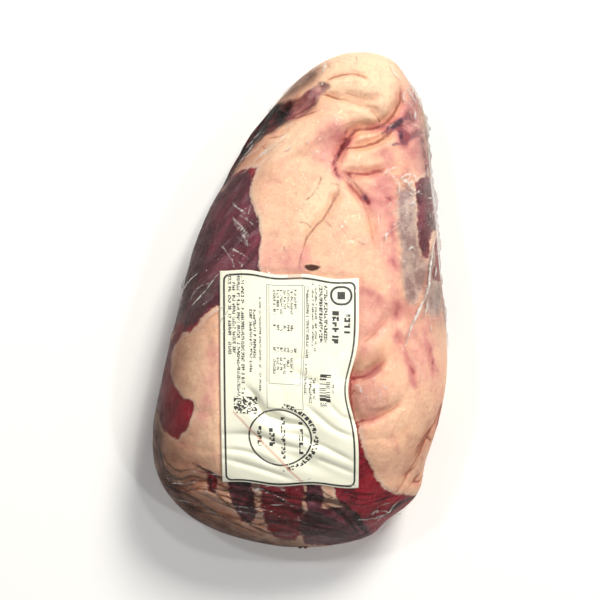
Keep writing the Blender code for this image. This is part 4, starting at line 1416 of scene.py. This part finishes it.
# ---- Shader nodes ----
class Nodes:
    """Short ways to add nodes to one tree. A value is a socket, or a plain number, vector or colour."""

    def __init__(self, tree):
        self.tree = tree

    def add(self, kind, **settings):
        node = self.tree.nodes.new(kind)
        for key, value in settings.items():
            setattr(node, key, value)
        return node

    def put(self, socket, value):
        if isinstance(value, bpy.types.NodeSocket):
            self.tree.links.new(value, socket)
        elif hasattr(value, "__len__") and len(socket.default_value) == 4:
            socket.default_value = (*value, 1)
        else:
            socket.default_value = value

    def fill(self, node, **inputs):
        """Sets or links a node's inputs, whose names have _ here for a space."""
        for key, value in inputs.items():
            self.put(node.inputs[key.replace("_", " ")], value)
        return node

    def feed(self, node, *values):
        """Sets or links a node's inputs in their order, and returns its first output."""
        for socket, value in zip(node.inputs, values):
            self.put(socket, value)
        return node.outputs[0]

    def math(self, operation, first, second=0, third=0):
        return self.feed(self.add("ShaderNodeMath", operation=operation), first, second, third)

    plus = partialmethod(math, "ADD")
    minus = partialmethod(math, "SUBTRACT")
    times = partialmethod(math, "MULTIPLY")
    times_plus = partialmethod(math, "MULTIPLY_ADD")
    over = partialmethod(math, "DIVIDE")
    most = partialmethod(math, "MAXIMUM")
    least = partialmethod(math, "MINIMUM")
    above = partialmethod(math, "GREATER_THAN")
    below = partialmethod(math, "LESS_THAN")
    whole = partialmethod(math, "FLOOR")
    unsigned = partialmethod(math, "ABSOLUTE")

    def length(self, x, y):
        return self.math("SQRT", self.plus(self.math("POWER", x, 2), self.math("POWER", y, 2)))

    def vector(self, operation, *values):
        return self.feed(self.add("ShaderNodeVectorMath", operation=operation), *values)

    def split(self, vector):
        return self.fill(self.add("ShaderNodeSeparateXYZ"), Vector=vector).outputs

    def joined(self, x, y, z=0):
        return self.feed(self.add("ShaderNodeCombineXYZ"), x, y, z)

    def chance(self, x, y, z):
        """A random value from 0 to 1, another one for each three values."""
        place = self.joined(x, y, z)
        white = self.add("ShaderNodeTexWhiteNoise", noise_dimensions="3D")
        return self.fill(white, Vector=place).outputs["Value"]

    def smooth(self, value, low, high, first=0, last=1):
        """Runs from first to last, with a smooth S, as value goes from low to high."""
        node = self.add("ShaderNodeMapRange", interpolation_type="SMOOTHSTEP")
        self.fill(node, Value=value, From_Min=low, From_Max=high, To_Min=first, To_Max=last)
        return node.outputs[0]

    def mix(self, share, first, second, blend="MIX"):
        """Mixes two colours, which are inputs 6 and 7 and output 2 of a Mix node."""
        node = self.add("ShaderNodeMix", data_type="RGBA", blend_type=blend)
        for index, value in ((0, share), (6, first), (7, second)):
            self.put(node.inputs[index], value)
        return node.outputs[2]

    def tint(self, share, colour, tint):
        return self.mix(share, colour, tint, "MULTIPLY")

    def attribute(self, name, output="Fac"):
        return self.add("ShaderNodeAttribute", attribute_name=name).outputs[output]

    def place(self):
        return self.add("ShaderNodeTexCoord").outputs["Object"]

    def stretch(self, place, scale, turn=0):
        """Coordinates turned about Z by an angle in degrees, then scaled on each axis."""
        for key, value in (("Rotation", (0, 0, math.radians(turn))), ("Scale", scale)):
            node = self.fill(self.add("ShaderNodeMapping", vector_type="POINT"), Vector=place)
            node.inputs[key].default_value = value
            place = node.outputs[0]
        return place

    def noise(self, place, scale, detail=3, roughness=0.5, distortion=0):
        node = self.fill(self.add("ShaderNodeTexNoise"), Vector=place, Scale=scale, Detail=detail)
        return self.fill(node, Roughness=roughness, Distortion=distortion).outputs["Fac"]

    def bump(self, height, strength, distance, **normal):
        node = self.add("ShaderNodeBump")
        return self.fill(node, Height=height, Strength=strength, Distance=distance, **normal).outputs[0]

    def use(self, group, output, **inputs):
        """Places a node group and returns one of its outputs."""
        return self.fill(self.add("ShaderNodeGroup", node_tree=group), **inputs).outputs[output]

    def patch(self, name, place, raggedness, softness):
        """Mask of the patches whose signed distance a point attribute holds."""
        distance = self.attribute(name)
        look = {"Raggedness": raggedness, "Softness": softness}
        return self.use(ragged_edge(), "Mask", Distance=distance, Place=place, **look)


NUMBER = "NodeSocketFloat"
VECTOR = "NodeSocketVector"
MASK = (("Mask", NUMBER, None),)


def node_group(name, inputs, outputs, build):
    """A shader node group, built once: inputs and outputs are name, kind and default."""
    if name in bpy.data.node_groups:
        return bpy.data.node_groups[name]
    group = bpy.data.node_groups.new(name, "ShaderNodeTree")
    for direction, sockets in (("INPUT", inputs), ("OUTPUT", outputs)):
        for label, kind, default in sockets:
            socket = group.interface.new_socket(name=label, in_out=direction, socket_type=kind)
            if default is not None:
                socket.default_value = default
    nodes = Nodes(group)
    given = nodes.add("NodeGroupInput").outputs
    result = nodes.add("NodeGroupOutput").inputs
    build(nodes, given, result)
    return group


def ragged_edge():
    """Mask of a patch from the signed distance to its edge in mm, moved to and fro by noise."""

    def build(nodes, given, result):
        fine = nodes.noise(given["Place"], 330, 4, 0.62)
        coarse = nodes.noise(given["Place"], 95, 2, 0.5)
        shift = nodes.minus(nodes.plus(nodes.times(fine, 0.55), nodes.times(coarse, 0.45)), 0.5)
        moved = nodes.times_plus(shift, given["Raggedness"], given["Distance"])
        low = nodes.times(given["Softness"], -1)
        nodes.put(result["Mask"], nodes.smooth(moved, low, given["Softness"]))

    values = (("Distance", NUMBER, 0), ("Place", VECTOR, None))
    looks = (("Raggedness", NUMBER, 5), ("Softness", NUMBER, 0.6))
    return node_group("Ragged edge", values + looks, MASK, build)


def veins():
    """Thin branching lines: the borders of noise-bent cells, kept where a broad noise is high."""

    def build(nodes, given, result):
        bend = nodes.fill(nodes.add("ShaderNodeTexNoise"), Vector=given["Place"], Scale=VEIN_BEND_SCALE)
        bent = nodes.vector("MULTIPLY_ADD", bend.outputs["Color"], VEIN_BEND, given["Place"])
        cells = nodes.add("ShaderNodeTexVoronoi", feature="DISTANCE_TO_EDGE")
        nodes.fill(cells, Vector=bent, Scale=given["Scale"])
        line = nodes.smooth(cells.outputs["Distance"], 0, given["Width"], 1, 0)
        kept = nodes.smooth(nodes.noise(given["Place"], 38, 2), 0.5, 0.62)
        nodes.put(result["Mask"], nodes.times(line, kept))

    inputs = (("Place", VECTOR, None), ("Scale", NUMBER, 60), ("Width", NUMBER, 0.05))
    return node_group("Veins", inputs, MASK, build)


def new_material(name):
    """A material with a Principled shader and the helper for its nodes."""
    material = bpy.data.materials.new(name)
    material.use_nodes = True
    return material, Nodes(material.node_tree), material.node_tree.nodes["Principled BSDF"]


def scaled(colour, share):
    """A colour with each part times a share, at most 1."""
    return tuple(min(1, share * part) for part in colour)


# ---- The meat's colours ----
def fat_colour(nodes, place, look):
    """Fat: cream, pink and plain fat mixed by their patches and by two sizes of noise, with fine veins."""
    broad = nodes.noise(place, 22, 3, 0.55)
    patchy = nodes.noise(place, 90, 4, 0.6)
    fine = nodes.noise(place, 420, 3, 0.6)
    cream_at = nodes.patch("cream", place, 14, 7)
    pink_at = nodes.patch("pink", place, 14, 6)
    colour = nodes.mix(nodes.smooth(broad, 0.42, 0.66, 0, 0.45), look.fat, look.cream)
    colour = nodes.mix(nodes.smooth(patchy, 0.5, 0.7, 0, 0.38), colour, look.pink)
    colour = nodes.mix(nodes.times(cream_at, 0.85), colour, look.cream)
    colour = nodes.mix(nodes.times(pink_at, nodes.smooth(patchy, 0.3, 0.7, 0.45, 0.95)), colour, look.pink)
    fine_veins = nodes.use(veins(), "Mask", Place=place, Scale=52, Width=0.035)
    colour = nodes.mix(nodes.times(fine_veins, 0.28), colour, VEIN_RED)
    grain = nodes.noise(nodes.stretch(place, (1, 0.3, 1), 28), 150, 4, 0.62, 0.4)
    colour = nodes.mix(nodes.smooth(grain, 0.5, 0.72, 0, 0.3), colour, look.pink)
    colour = nodes.mix(nodes.smooth(grain, 0.5, 0.28, 0, 0.35), colour, look.cream)
    return nodes.mix(nodes.smooth(fine, 0.46, 0.7, 0, 0.34), colour, SPECKLE), patchy, fine


def lean_colour(nodes, place, look):
    """Lean: dark and bright red along the fibres, purple in its patches, with pale threads of sinew."""
    fibres = nodes.noise(nodes.stretch(place, (1, 0.14, 1), 24), 900, 4, 0.6)
    bands = nodes.noise(nodes.stretch(place, (1, 0.3, 1), 35), 120, 3, 0.55)
    colour = nodes.mix(nodes.smooth(bands, 0.3, 0.58), look.dark_lean, look.lean)
    colour = nodes.mix(nodes.smooth(fibres, 0.4, 0.75, 0, 0.45), colour, scaled(look.lean, 1.6))
    purple_at = nodes.patch("purple", place, 6, 2)
    purple = nodes.mix(nodes.smooth(bands, 0.4, 0.64), scaled(look.purple, 0.4), look.purple)
    milk = nodes.noise(nodes.stretch(place, (0.25, 1, 1), MILK_TURN), 170, 3, 0.5)
    purple = nodes.mix(nodes.smooth(milk, 0.5, 0.7, 0, 0.26), purple, MILKY_PURPLE)
    colour = nodes.mix(nodes.times(purple_at, 0.9), colour, purple)
    return nodes.mix(nodes.smooth(fibres, 0.66, 0.78, 0, 0.28), colour, SINEW), fibres


def silver_skin(nodes, place, look, patchy):
    """Silver skin: a sheen along its fibres with lean showing through, and the mask of where it lies."""
    mask = nodes.patch("silver", place, 10, 3)
    sheen = nodes.noise(nodes.stretch(place, (1, 0.2, 1), 4), 160, 3, 0.5)
    silver = nodes.mix(nodes.smooth(sheen, 0.35, 0.7), scaled(look.silver, 0.72), look.silver)
    silver = nodes.mix(nodes.smooth(patchy, 0.46, 0.58, 0, 0.75), silver, DARK_SILVER)
    return silver, nodes.times(mask, nodes.smooth(patchy, 0.3, 0.6, 0.7, 1))


def bloodied(nodes, colour, look, patchy):
    """A colour with blood and the red of the folds soaked in: a stain, and blood where it is strong."""
    blood = nodes.times(nodes.attribute("blood"), nodes.smooth(patchy, 0.3, 0.62, 0.45, 1.15))
    in_folds = nodes.times(nodes.attribute("red"), nodes.smooth(patchy, 0.35, 0.65, 0.4, 1))
    red = nodes.plus(blood, in_folds)
    colour = nodes.mix(nodes.smooth(red, 0.02, 0.75, 0, 0.85), colour, look.stain)
    return nodes.mix(nodes.smooth(red, 0.65, 1.25, 0, 0.92), colour, look.blood)


def bridged_colour(nodes, place, patchy, fine):
    """What shows under the bridging film: nearly black painted shade, paler dark meat with painted shade at
    the rim, plum where lean is purple.
    """
    # painted shade in the hollow
    deep = nodes.mix(nodes.smooth(patchy, 0.46, 0.62), *PIT_SHADE_COLOURS)
    at_rim = nodes.smooth(nodes.attribute("rim"), -1, 1)
    deep = nodes.mix(at_rim, deep, nodes.mix(nodes.smooth(fine, 0.35, 0.65), *RIM_COLOURS))
    plum_at = nodes.patch("purple", place, 12, 2.5)
    return nodes.mix(plum_at, deep, nodes.mix(nodes.smooth(patchy, 0.38, 0.62), *PLUM_COLOURS))


def fine_line(nodes, name, fine):
    """Mask of thin lines: near their middle, where the distance to their edge says that one is close."""
    away = nodes.unsigned(nodes.attribute(name + "_across"))
    away = nodes.times_plus(fine, 1.2, nodes.minus(away, 0.6))
    near = nodes.smooth(nodes.attribute(name), -1, -0.3)
    return nodes.times(near, nodes.smooth(away, 0.15, 0.95, 1, 0))


def creased(nodes, colour, fine):
    """A colour with brown painted shade in the hollows, and a thin dark line along the bottom of the
    stronger folds: painted shade, red where the fold holds blood.
    """
    # painted shade in the hollows
    fold_shade = nodes.times(nodes.smooth(nodes.attribute("fold_shade"), 0.15, 1.3), 0.45)
    colour = nodes.tint(fold_shade, colour, HOLLOW_SHADE_TINT)
    # thin dark line at a fold's bottom: painted shade, red where it holds blood
    crease_at = fine_line(nodes, "crease", fine)
    crease = nodes.mix(nodes.smooth(nodes.attribute("red"), 0.1, 0.5), *CREASE_COLOURS)
    strong = nodes.most(nodes.attribute("red"), nodes.attribute("fold_shade"))
    strong = nodes.smooth(strong, 0.5, 1.35, 0, 0.85)
    return nodes.tint(nodes.times(crease_at, strong), colour, crease)


def marked(nodes, place, colour, fine):
    """A colour with its vessels, its clots with their ragged halo, and its dark specks."""
    vessel = fine_line(nodes, "vessel", fine)
    ragged = nodes.times_plus(nodes.noise(place, 260, 4, 0.65), 2.4, -1.2)
    clot = nodes.attribute("clot")
    at_clot = nodes.smooth(nodes.attribute("clot"), 0, 0.25)
    clot = nodes.plus(clot, nodes.times(ragged, at_clot))
    colour = nodes.mix(nodes.smooth(clot, 0.1, 0.7, 0, 0.8), colour, CLOT_HALO)
    vessel = nodes.times(vessel, nodes.smooth(fine, 0.42, 0.58, 0.15, 0.5))
    vessel = nodes.most(vessel, nodes.smooth(clot, 0.55, 1.1))
    vessel = nodes.most(vessel, nodes.smooth(nodes.attribute("vessel"), 0.3, 0.9, 0, 0.9))
    colour = nodes.mix(vessel, colour, CLOT_DARK)
    return nodes.mix(nodes.patch("speck", place, 2, 0.6), colour, SPECK_DARK)


def shaded(nodes, place, colour, patchy):
    """A colour under browner fat and painted shade, painted shadows in the film's folds, painted shade on
    the side that faces lower left, and painted shade on the rims.
    """
    # browner fat and painted shade
    browned_and_shaded = nodes.times(nodes.attribute("browned_and_shaded"), nodes.smooth(patchy, 0.3, 0.65, 0.6, 1.1))
    colour = nodes.tint(browned_and_shaded, colour, BROWNED_AND_SHADED_TINT)
    shadow = nodes.patch("shadow", place, 1.7, 0.7)
    colour = nodes.tint(nodes.times(shadow, 0.88), colour, SHADOW_TINT)
    # painted shade on the side that faces lower left
    shade = nodes.smooth(nodes.attribute("shade"), 0.02, 0.62)
    colour = nodes.tint(nodes.times(shade, nodes.smooth(patchy, 0.25, 0.75, 0.8, 1)), colour, SHADE_TINT)
    # painted shade on the rim at the lower left
    shaded_rim = nodes.smooth(nodes.attribute("shaded_rim"), -5, 6)
    return nodes.tint(nodes.times(shaded_rim, nodes.smooth(patchy, 0.3, 0.6, 0.65, 0.95)), colour, SHADED_RIM_TINT)


def meat_material(look):
    """Fat, lean, silver skin and blood, each where its attribute says, wet and finely lobed."""
    material, nodes, shader = new_material("meat")
    place = nodes.place()
    fat, patchy, fine = fat_colour(nodes, place, look)
    lean, fibres = lean_colour(nodes, place, look)
    silver, silver_at = silver_skin(nodes, place, look, patchy)
    colour = bloodied(nodes, nodes.mix(silver_at, fat, silver), look, patchy)
    lean_at = nodes.patch("lean", place, 8, 0.9)
    fringe = nodes.smooth(nodes.attribute("lean"), -4.5, 0.5)
    fringe = nodes.times(fringe, nodes.smooth(fine, 0.36, 0.56, 0.15, 0.85))
    colour = nodes.mix(lean_at, nodes.mix(fringe, colour, FRINGE), lean)
    pit_at = nodes.patch("pit", place, 9, 2.2)
    pit_at = nodes.times(pit_at, nodes.minus(1, nodes.times(silver_at, 0.9)))
    colour = nodes.mix(pit_at, colour, bridged_colour(nodes, place, patchy, fine))
    colour = creased(nodes, colour, fine)
    colour = marked(nodes, place, colour, fine)
    nodes.fill(shader, Base_Color=shaded(nodes, place, colour, patchy))
    rough = nodes.smooth(patchy, 0.3, 0.7, look.roughness - 0.08, look.roughness + 0.08)
    nodes.fill(shader, Roughness=nodes.minus(rough, nodes.times(lean_at, 0.06)))
    lobed = nodes.bump(nodes.plus(nodes.times(patchy, 0.7), nodes.times(fine, 0.3)), 0.6, 0.0022)
    nodes.fill(shader, Normal=nodes.bump(fibres, nodes.times(lean_at, 0.45), 0.0006, Normal=lobed))
    nodes.fill(shader, Specular_IOR_Level=0.08, Subsurface_Weight=0.12, Subsurface_Scale=0.004)
    nodes.fill(shader, Subsurface_Radius=(1, 0.35, 0.2))
    return material


# ---- The print ----
def print_rows():
    """Rows of small marks: cells along each row, some left out, each cut into parts, some of them bare.

    Place is across and down from the block's corner, Pitch is the row's, the letter's and the seed,
    and Size is the block's width, length and raggedness.
    """

    def build(nodes, given, result):
        across, down, _ = nodes.split(given["Place"])
        row_pitch, letter_pitch, seed = nodes.split(given["Pitch"])
        width, length, ragged = nodes.split(given["Size"])
        in_rows = nodes.over(across, row_pitch)
        row = nodes.whole(in_rows)
        row_share = nodes.math("FRACT", in_rows)
        in_cells = nodes.over(down, letter_pitch)
        cell = nodes.whole(in_cells)
        cell_share = nodes.math("FRACT", in_cells)
        stroke = nodes.whole(nodes.times(row_share, STROKES))
        part = nodes.whole(nodes.times(cell_share, STROKE_PARTS))
        piece = nodes.times_plus(stroke, 3, part)
        gaps = nodes.times(nodes.below(row_pitch, LARGE_PITCH), GAP_SHARE)
        mask = nodes.above(nodes.chance(cell, row, seed), gaps)
        inked = nodes.above(nodes.chance(cell, nodes.times_plus(row, 31, piece), seed), BARE_SHARE)
        mask = nodes.times(mask, inked)
        end = nodes.times(nodes.chance(row, seed, 3.5), ragged)
        end = nodes.times(length, nodes.minus(1, end))
        mask = nodes.times(mask, nodes.below(down, end))
        mask = nodes.times(mask, nodes.below(row_share, ROW_FILL))
        mask = nodes.times(mask, nodes.below(cell_share, CELL_FILL))
        nodes.put(result["Mask"], nodes.times(mask, nodes.above(width, 0)))

    inputs = [(key, VECTOR, None) for key in ("Place", "Pitch", "Size")]
    return node_group("Rows of print", inputs, MASK, build)


def block_choice():
    """Passes on a block's own place, pitch and size inside the block, and what came in elsewhere."""

    def build(nodes, given, result):
        def chosen(before, own):
            """Mixes two vectors, which are inputs 4 and 5 and output 1 of a Mix node."""
            node = nodes.add("ShaderNodeMix", data_type="VECTOR")
            for index, value in ((0, within), (4, before), (5, own)):
                nodes.put(node.inputs[index], value)
            return node.outputs[1]

        place = nodes.vector("SUBTRACT", given["Sheet"], given["Corner"])
        spare = nodes.vector("MINIMUM", place, nodes.vector("SUBTRACT", given["Own size"], place))
        spare_across, spare_down, _ = nodes.split(spare)
        within = nodes.above(nodes.least(spare_across, spare_down), 0)
        nodes.put(result["Place"], chosen(given["Place"], place))
        nodes.put(result["Pitch"], chosen(given["Pitch"], given["Own pitch"]))
        nodes.put(result["Size"], chosen(given["Size"], given["Own size"]))

    passed = [(key, VECTOR, None) for key in ("Place", "Pitch", "Size")]
    own = [(key, VECTOR, None) for key in ("Sheet", "Corner", "Own pitch", "Own size")]
    return node_group("Block choice", own + passed, passed, build)


def printed_blocks(nodes, sheet):
    """Marks of all the blocks. They don't overlap, so one set of rows takes each block's own values."""
    found = {"Place": (0, 0, 0), "Pitch": (1, 1, 0), "Size": (0, 0, 0)}
    for seed, (left, top, width, length, row, letter, ragged) in enumerate(PRINT_BLOCKS, start=1):
        node = nodes.add("ShaderNodeGroup", node_tree=block_choice())
        nodes.fill(node, Sheet=sheet, Corner=(left, top, 0), Own_pitch=(row, letter, seed))
        nodes.fill(node, Own_size=(width, length, ragged), **found)
        found = {key: node.outputs[key] for key in found}
    return nodes.use(print_rows(), "Mask", **found)


def in_box(nodes, across, down, box):
    """1 inside a box of left, top, width and length on the sheet."""
    left, top, width, length = box
    mask = nodes.above(across, left)
    mask = nodes.times(mask, nodes.below(across, left + width))
    mask = nodes.times(mask, nodes.above(down, top))
    return nodes.times(mask, nodes.below(down, top + length))


def code_marks(nodes, across, down, box, cell_across, cell_down, seed):
    """Random cells in a box: bars where a cell is as wide as the box, squares where it is small."""
    row = nodes.whole(nodes.over(across, cell_across))
    cell = nodes.whole(nodes.over(down, cell_down))
    marks = nodes.above(nodes.chance(row, cell, seed), CODE_BARE_SHARE)
    return nodes.times(marks, in_box(nodes, across, down, box))


def box_line(nodes, across, down, left, top, width, length, corner, line):
    """The outline of a round-cornered box: where the distance to it is under half the line's width."""
    half_across, half_down = 0.5 * width, 0.5 * length
    away_across = nodes.unsigned(nodes.minus(across, left + half_across))
    away_down = nodes.unsigned(nodes.minus(down, top + half_down))
    past_across = nodes.minus(away_across, half_across - corner)
    past_down = nodes.minus(away_down, half_down - corner)
    out = nodes.length(nodes.most(past_across, 0), nodes.most(past_down, 0))
    within = nodes.least(nodes.most(past_across, past_down), 0)
    distance = nodes.minus(nodes.plus(out, within), corner)
    return nodes.below(nodes.unsigned(distance), 0.5 * line)


def stamp_marks(nodes, across, down):
    """An oval ring with an arc of marks outside it."""
    centre_across, centre_down, radius_across, radius_down = STAMP
    u = nodes.over(nodes.minus(across, centre_across), radius_across)
    v = nodes.over(nodes.minus(down, centre_down), radius_down)
    radius = nodes.length(u, v)
    ring = nodes.below(nodes.unsigned(nodes.minus(radius, 1)), STAMP_LINE)
    angle = nodes.math("ARCTAN2", v, u)
    left, top, width, length, row, letter, ragged = STAMP_ARC
    out = nodes.times_plus(radius, radius_across, -left)
    round_it = nodes.times_plus(angle, radius_across * ARC_SPREAD, -top)
    looks = {"Pitch": (row, letter, STAMP_SEED), "Size": (width, length, ragged)}
    arc = nodes.use(print_rows(), "Mask", Place=nodes.joined(out, round_it), **looks)
    return nodes.most(ring, nodes.times(arc, in_box(nodes, out, round_it, (0, 0, width, length))))


def juice_stain(nodes, across, down, place):
    """A pinkish streak of juice that slants across the stamp, and juice at the label's upper edge."""
    wobble = nodes.times(nodes.minus(nodes.noise(place, 90, 3), 0.5), 3)
    slant = nodes.minus(down, nodes.times_plus(across, *STREAK_WAY))
    streak = nodes.smooth(nodes.unsigned(nodes.plus(slant, wobble)), 0.4, 1.9, 0.62, 0)
    streak = nodes.times(streak, in_box(nodes, across, down, STREAK_BOX))
    edge = nodes.smooth(nodes.plus(down, wobble), 1, 5, 0.55, 0)
    return nodes.most(streak, nodes.times(edge, in_box(nodes, across, down, EDGE_JUICE_BOX)))


def label_material(look):
    """Cream paper with rows of marks, codes, a table, a stamp and a border, faintly stained and creased."""
    material, nodes, shader = new_material("label_paper")
    sheet = nodes.attribute("sheet", "Vector")
    across, down, _ = nodes.split(sheet)
    ink = nodes.most(stamp_marks(nodes, across, down), printed_blocks(nodes, sheet))
    marks = [code_marks(nodes, across, down, *row) for row in CODES]
    marks += [box_line(nodes, across, down, *row) for row in BOX_LINES]
    marks.append(in_box(nodes, across, down, RING_CORE))
    for mark in marks:
        ink = nodes.most(ink, mark)
    place = nodes.place()
    wear = nodes.noise(place, 700, 3, 0.6)
    ink = nodes.times(ink, nodes.smooth(wear, 0.25, 0.5, 0.9, 1))
    tone = nodes.noise(place, 30, 3, 0.5)
    paper = nodes.mix(nodes.smooth(tone, 0.4, 0.7, 0, 0.35), look.paper, scaled(look.paper, 0.88))
    colour = nodes.mix(ink, paper, look.ink)
    colour = nodes.mix(juice_stain(nodes, across, down, place), colour, JUICE)
    dents = nodes.bump(nodes.noise(place, 260, 4, 0.6), 0.25, 0.0006)
    nodes.fill(shader, Base_Color=colour, Roughness=0.5, Normal=dents)
    return material


# ---- The film and the floor ----
def film_material(look):
    """Clear film: a mirror as strong as its Fresnel reflection, milky where slack, darkened by painted shade
    where it bends away, and white on creases, with whitened film and painted glints.
    """
    material, nodes, shader = new_material("film")
    place = nodes.place()
    slack = nodes.attribute("slack")
    streaks = nodes.noise(nodes.stretch(place, (0.35, 1, 1), MILK_TURN), 210, 4, 0.6)
    haze = nodes.times(nodes.attribute("haze"), nodes.smooth(streaks, 0.35, 0.68, 0.25, 1))
    # whitened film and painted glints
    white = nodes.times(nodes.patch("white", place, 2.2, 0.5), 0.8)
    # painted shade where the film bends away
    edge_shade = nodes.times(nodes.attribute("edge_shade"), nodes.smooth(streaks, 0.3, 0.65, 0.55, 0.95))
    milky = nodes.most(nodes.most(nodes.times(haze, look.haze), edge_shade), white)
    fine = nodes.noise(nodes.stretch(place, (1, 0.5, 1), 20), 330, 3, 0.55, 0.6)
    crease = nodes.minus(1, nodes.unsigned(nodes.times_plus(fine, 2, -1)))
    crease = nodes.math("POWER", crease, 6)
    normal = nodes.bump(crease, nodes.smooth(slack, 0, 1, 0.5, 1), 0.0009)
    fresnel = nodes.fill(nodes.add("ShaderNodeFresnel"), IOR=FILM_IOR, Normal=normal)
    gloss = nodes.least(fresnel.outputs[0], FILM_MAX_GLOSS)
    opaque = nodes.plus(gloss, milky)
    share = nodes.over(gloss, nodes.plus(opaque, 0.001))
    milk = nodes.mix(white, nodes.mix(nodes.attribute("edge_shade"), look.tint, look.edge_shade), CREASE_WHITE_AND_GLINT)
    nodes.fill(shader, Base_Color=nodes.mix(share, milk, WHITE), Metallic=share, Normal=normal)
    nodes.fill(shader, Alpha=nodes.least(opaque, 1), Roughness=look.roughness)
    return material


def floor_material(colour):
    material, nodes, shader = new_material("floor")
    grain = nodes.noise(nodes.place(), 60, 2)
    nodes.fill(shader, Base_Color=nodes.mix(grain, tuple(colour), scaled(colour, 0.985)), Roughness=0.8)
    return material


# ---- Operators ----
def dress(piece, material, node):
    """Gives a piece its material and its body, and hides the solid that it stands for."""
    piece.data.materials.append(material)
    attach(piece, "root")
    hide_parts(node)


class SHANK_OT_meat(bpy.types.Operator):
    """Makes the meat inside the bag"""

    bl_idname = "shank.meat"
    bl_label = "Meat"

    def execute(self, context):
        dress(meat_piece(form_grid()), meat_material(context.scene.shank_meat), "shank")
        return {"FINISHED"}


class SHANK_OT_label(bpy.types.Operator):
    """Makes the printed label on the meat"""

    bl_idname = "shank.label"
    bl_label = "Label"

    def execute(self, context):
        look = context.scene.shank_label
        dress(label_piece(look.thickness), label_material(look), "label")
        return {"FINISHED"}


class SHANK_OT_film(bpy.types.Operator):
    """Makes the clear film over the meat and the label"""

    bl_idname = "shank.film"
    bl_label = "Film"

    def execute(self, context):
        dress(film_piece(form_grid()), film_material(context.scene.shank_film), "shank")
        return {"FINISHED"}


def area_light(name, place, size, power, colour):
    """A square light at a place, turned to face the middle of the object."""
    light = bpy.data.lights.new(name, "AREA")
    light.size = size
    light.energy = power
    light.color = colour
    item = linked(name, light)
    item.location = place
    tilt = math.atan2(math.hypot(place[0], place[1]), place[2])
    item.rotation_euler = (tilt, 0, math.atan2(place[1], place[0]) + math.pi / 2)


class SHANK_OT_stage(bpy.types.Operator):
    """Makes the floor, the lights and the camera"""

    bl_idname = "shank.stage"
    bl_label = "Stage"

    def execute(self, context):
        scene = context.scene
        look = scene.shank_stage
        mesh = bpy.data.meshes.new("floor")
        half = FLOOR_SIZE / 2
        corners = [(x, y, 0) for x, y in ((-half, -half), (half, -half), (half, half), (-half, half))]
        mesh.from_pydata(corners, [], [(0, 1, 2, 3)])
        mesh.materials.append(floor_material(look.floor))
        linked("floor", mesh)
        area_light("key", KEY_PLACE, KEY_SIZE, look.key, KEY_COLOUR)
        area_light("fill", FILL_PLACE, FILL_SIZE, look.key * FILL_SHARE, WHITE)
        for number, place in enumerate(GLINT_PLACES):
            area_light(f"glint_{number}", place, GLINT_SIZE, look.glint, WHITE)
        world = bpy.data.worlds.new("studio")
        world.use_nodes = True
        sky = world.node_tree.nodes["Background"]
        Nodes(world.node_tree).fill(sky, Color=SKY_COLOUR, Strength=look.ambient)
        scene.world = world
        camera = bpy.data.cameras.new("camera")
        camera.sensor_width = SENSOR
        camera.lens = SENSOR * (look.camera_height - MID_HEIGHT) / look.view_across
        camera.clip_end = VIEW_DEPTH
        scene.camera = linked("camera", camera)
        scene.camera.location = (0, 0, look.camera_height)
        scene.view_settings.view_transform = "Standard"
        return {"FINISHED"}


class SHANK_PT_pieces(bpy.types.Panel):
    """Lists the pieces of the bagged shank and their settings"""

    bl_label = "Bagged shank"
    bl_idname = "SHANK_PT_pieces"
    bl_space_type = "VIEW_3D"
    bl_region_type = "UI"
    bl_category = "Shank"

    def draw(self, context):
        for operator, settings in PIECES:
            box = self.layout.box()
            box.operator(operator)
            group = getattr(context.scene, settings)
            for key in group.bl_rna.properties.keys():
                if key not in ("rna_type", "name"):
                    box.prop(group, key)


PIECES = (
    ("shank.meat", "shank_meat"),
    ("shank.label", "shank_label"),
    ("shank.film", "shank_film"),
    ("shank.stage", "shank_stage"),
)
SETTINGS = (MeatSettings, LabelSettings, FilmSettings, StageSettings)
CLASSES = SETTINGS + (SHANK_OT_meat, SHANK_OT_label, SHANK_OT_film, SHANK_OT_stage, SHANK_PT_pieces)


def register():
    for kind in CLASSES:
        bpy.utils.register_class(kind)
    for (_, name), kind in zip(PIECES, SETTINGS):
        setattr(bpy.types.Scene, name, bpy.props.PointerProperty(type=kind))


def unregister():
    for _, name in PIECES:
        delattr(bpy.types.Scene, name)
    for kind in reversed(CLASSES):
        bpy.utils.unregister_class(kind)


def main():
    register()
    bpy.ops.shank.meat()
    bpy.ops.shank.label()
    bpy.ops.shank.film()
    bpy.ops.shank.stage()


if __name__ == "__main__":
    main()
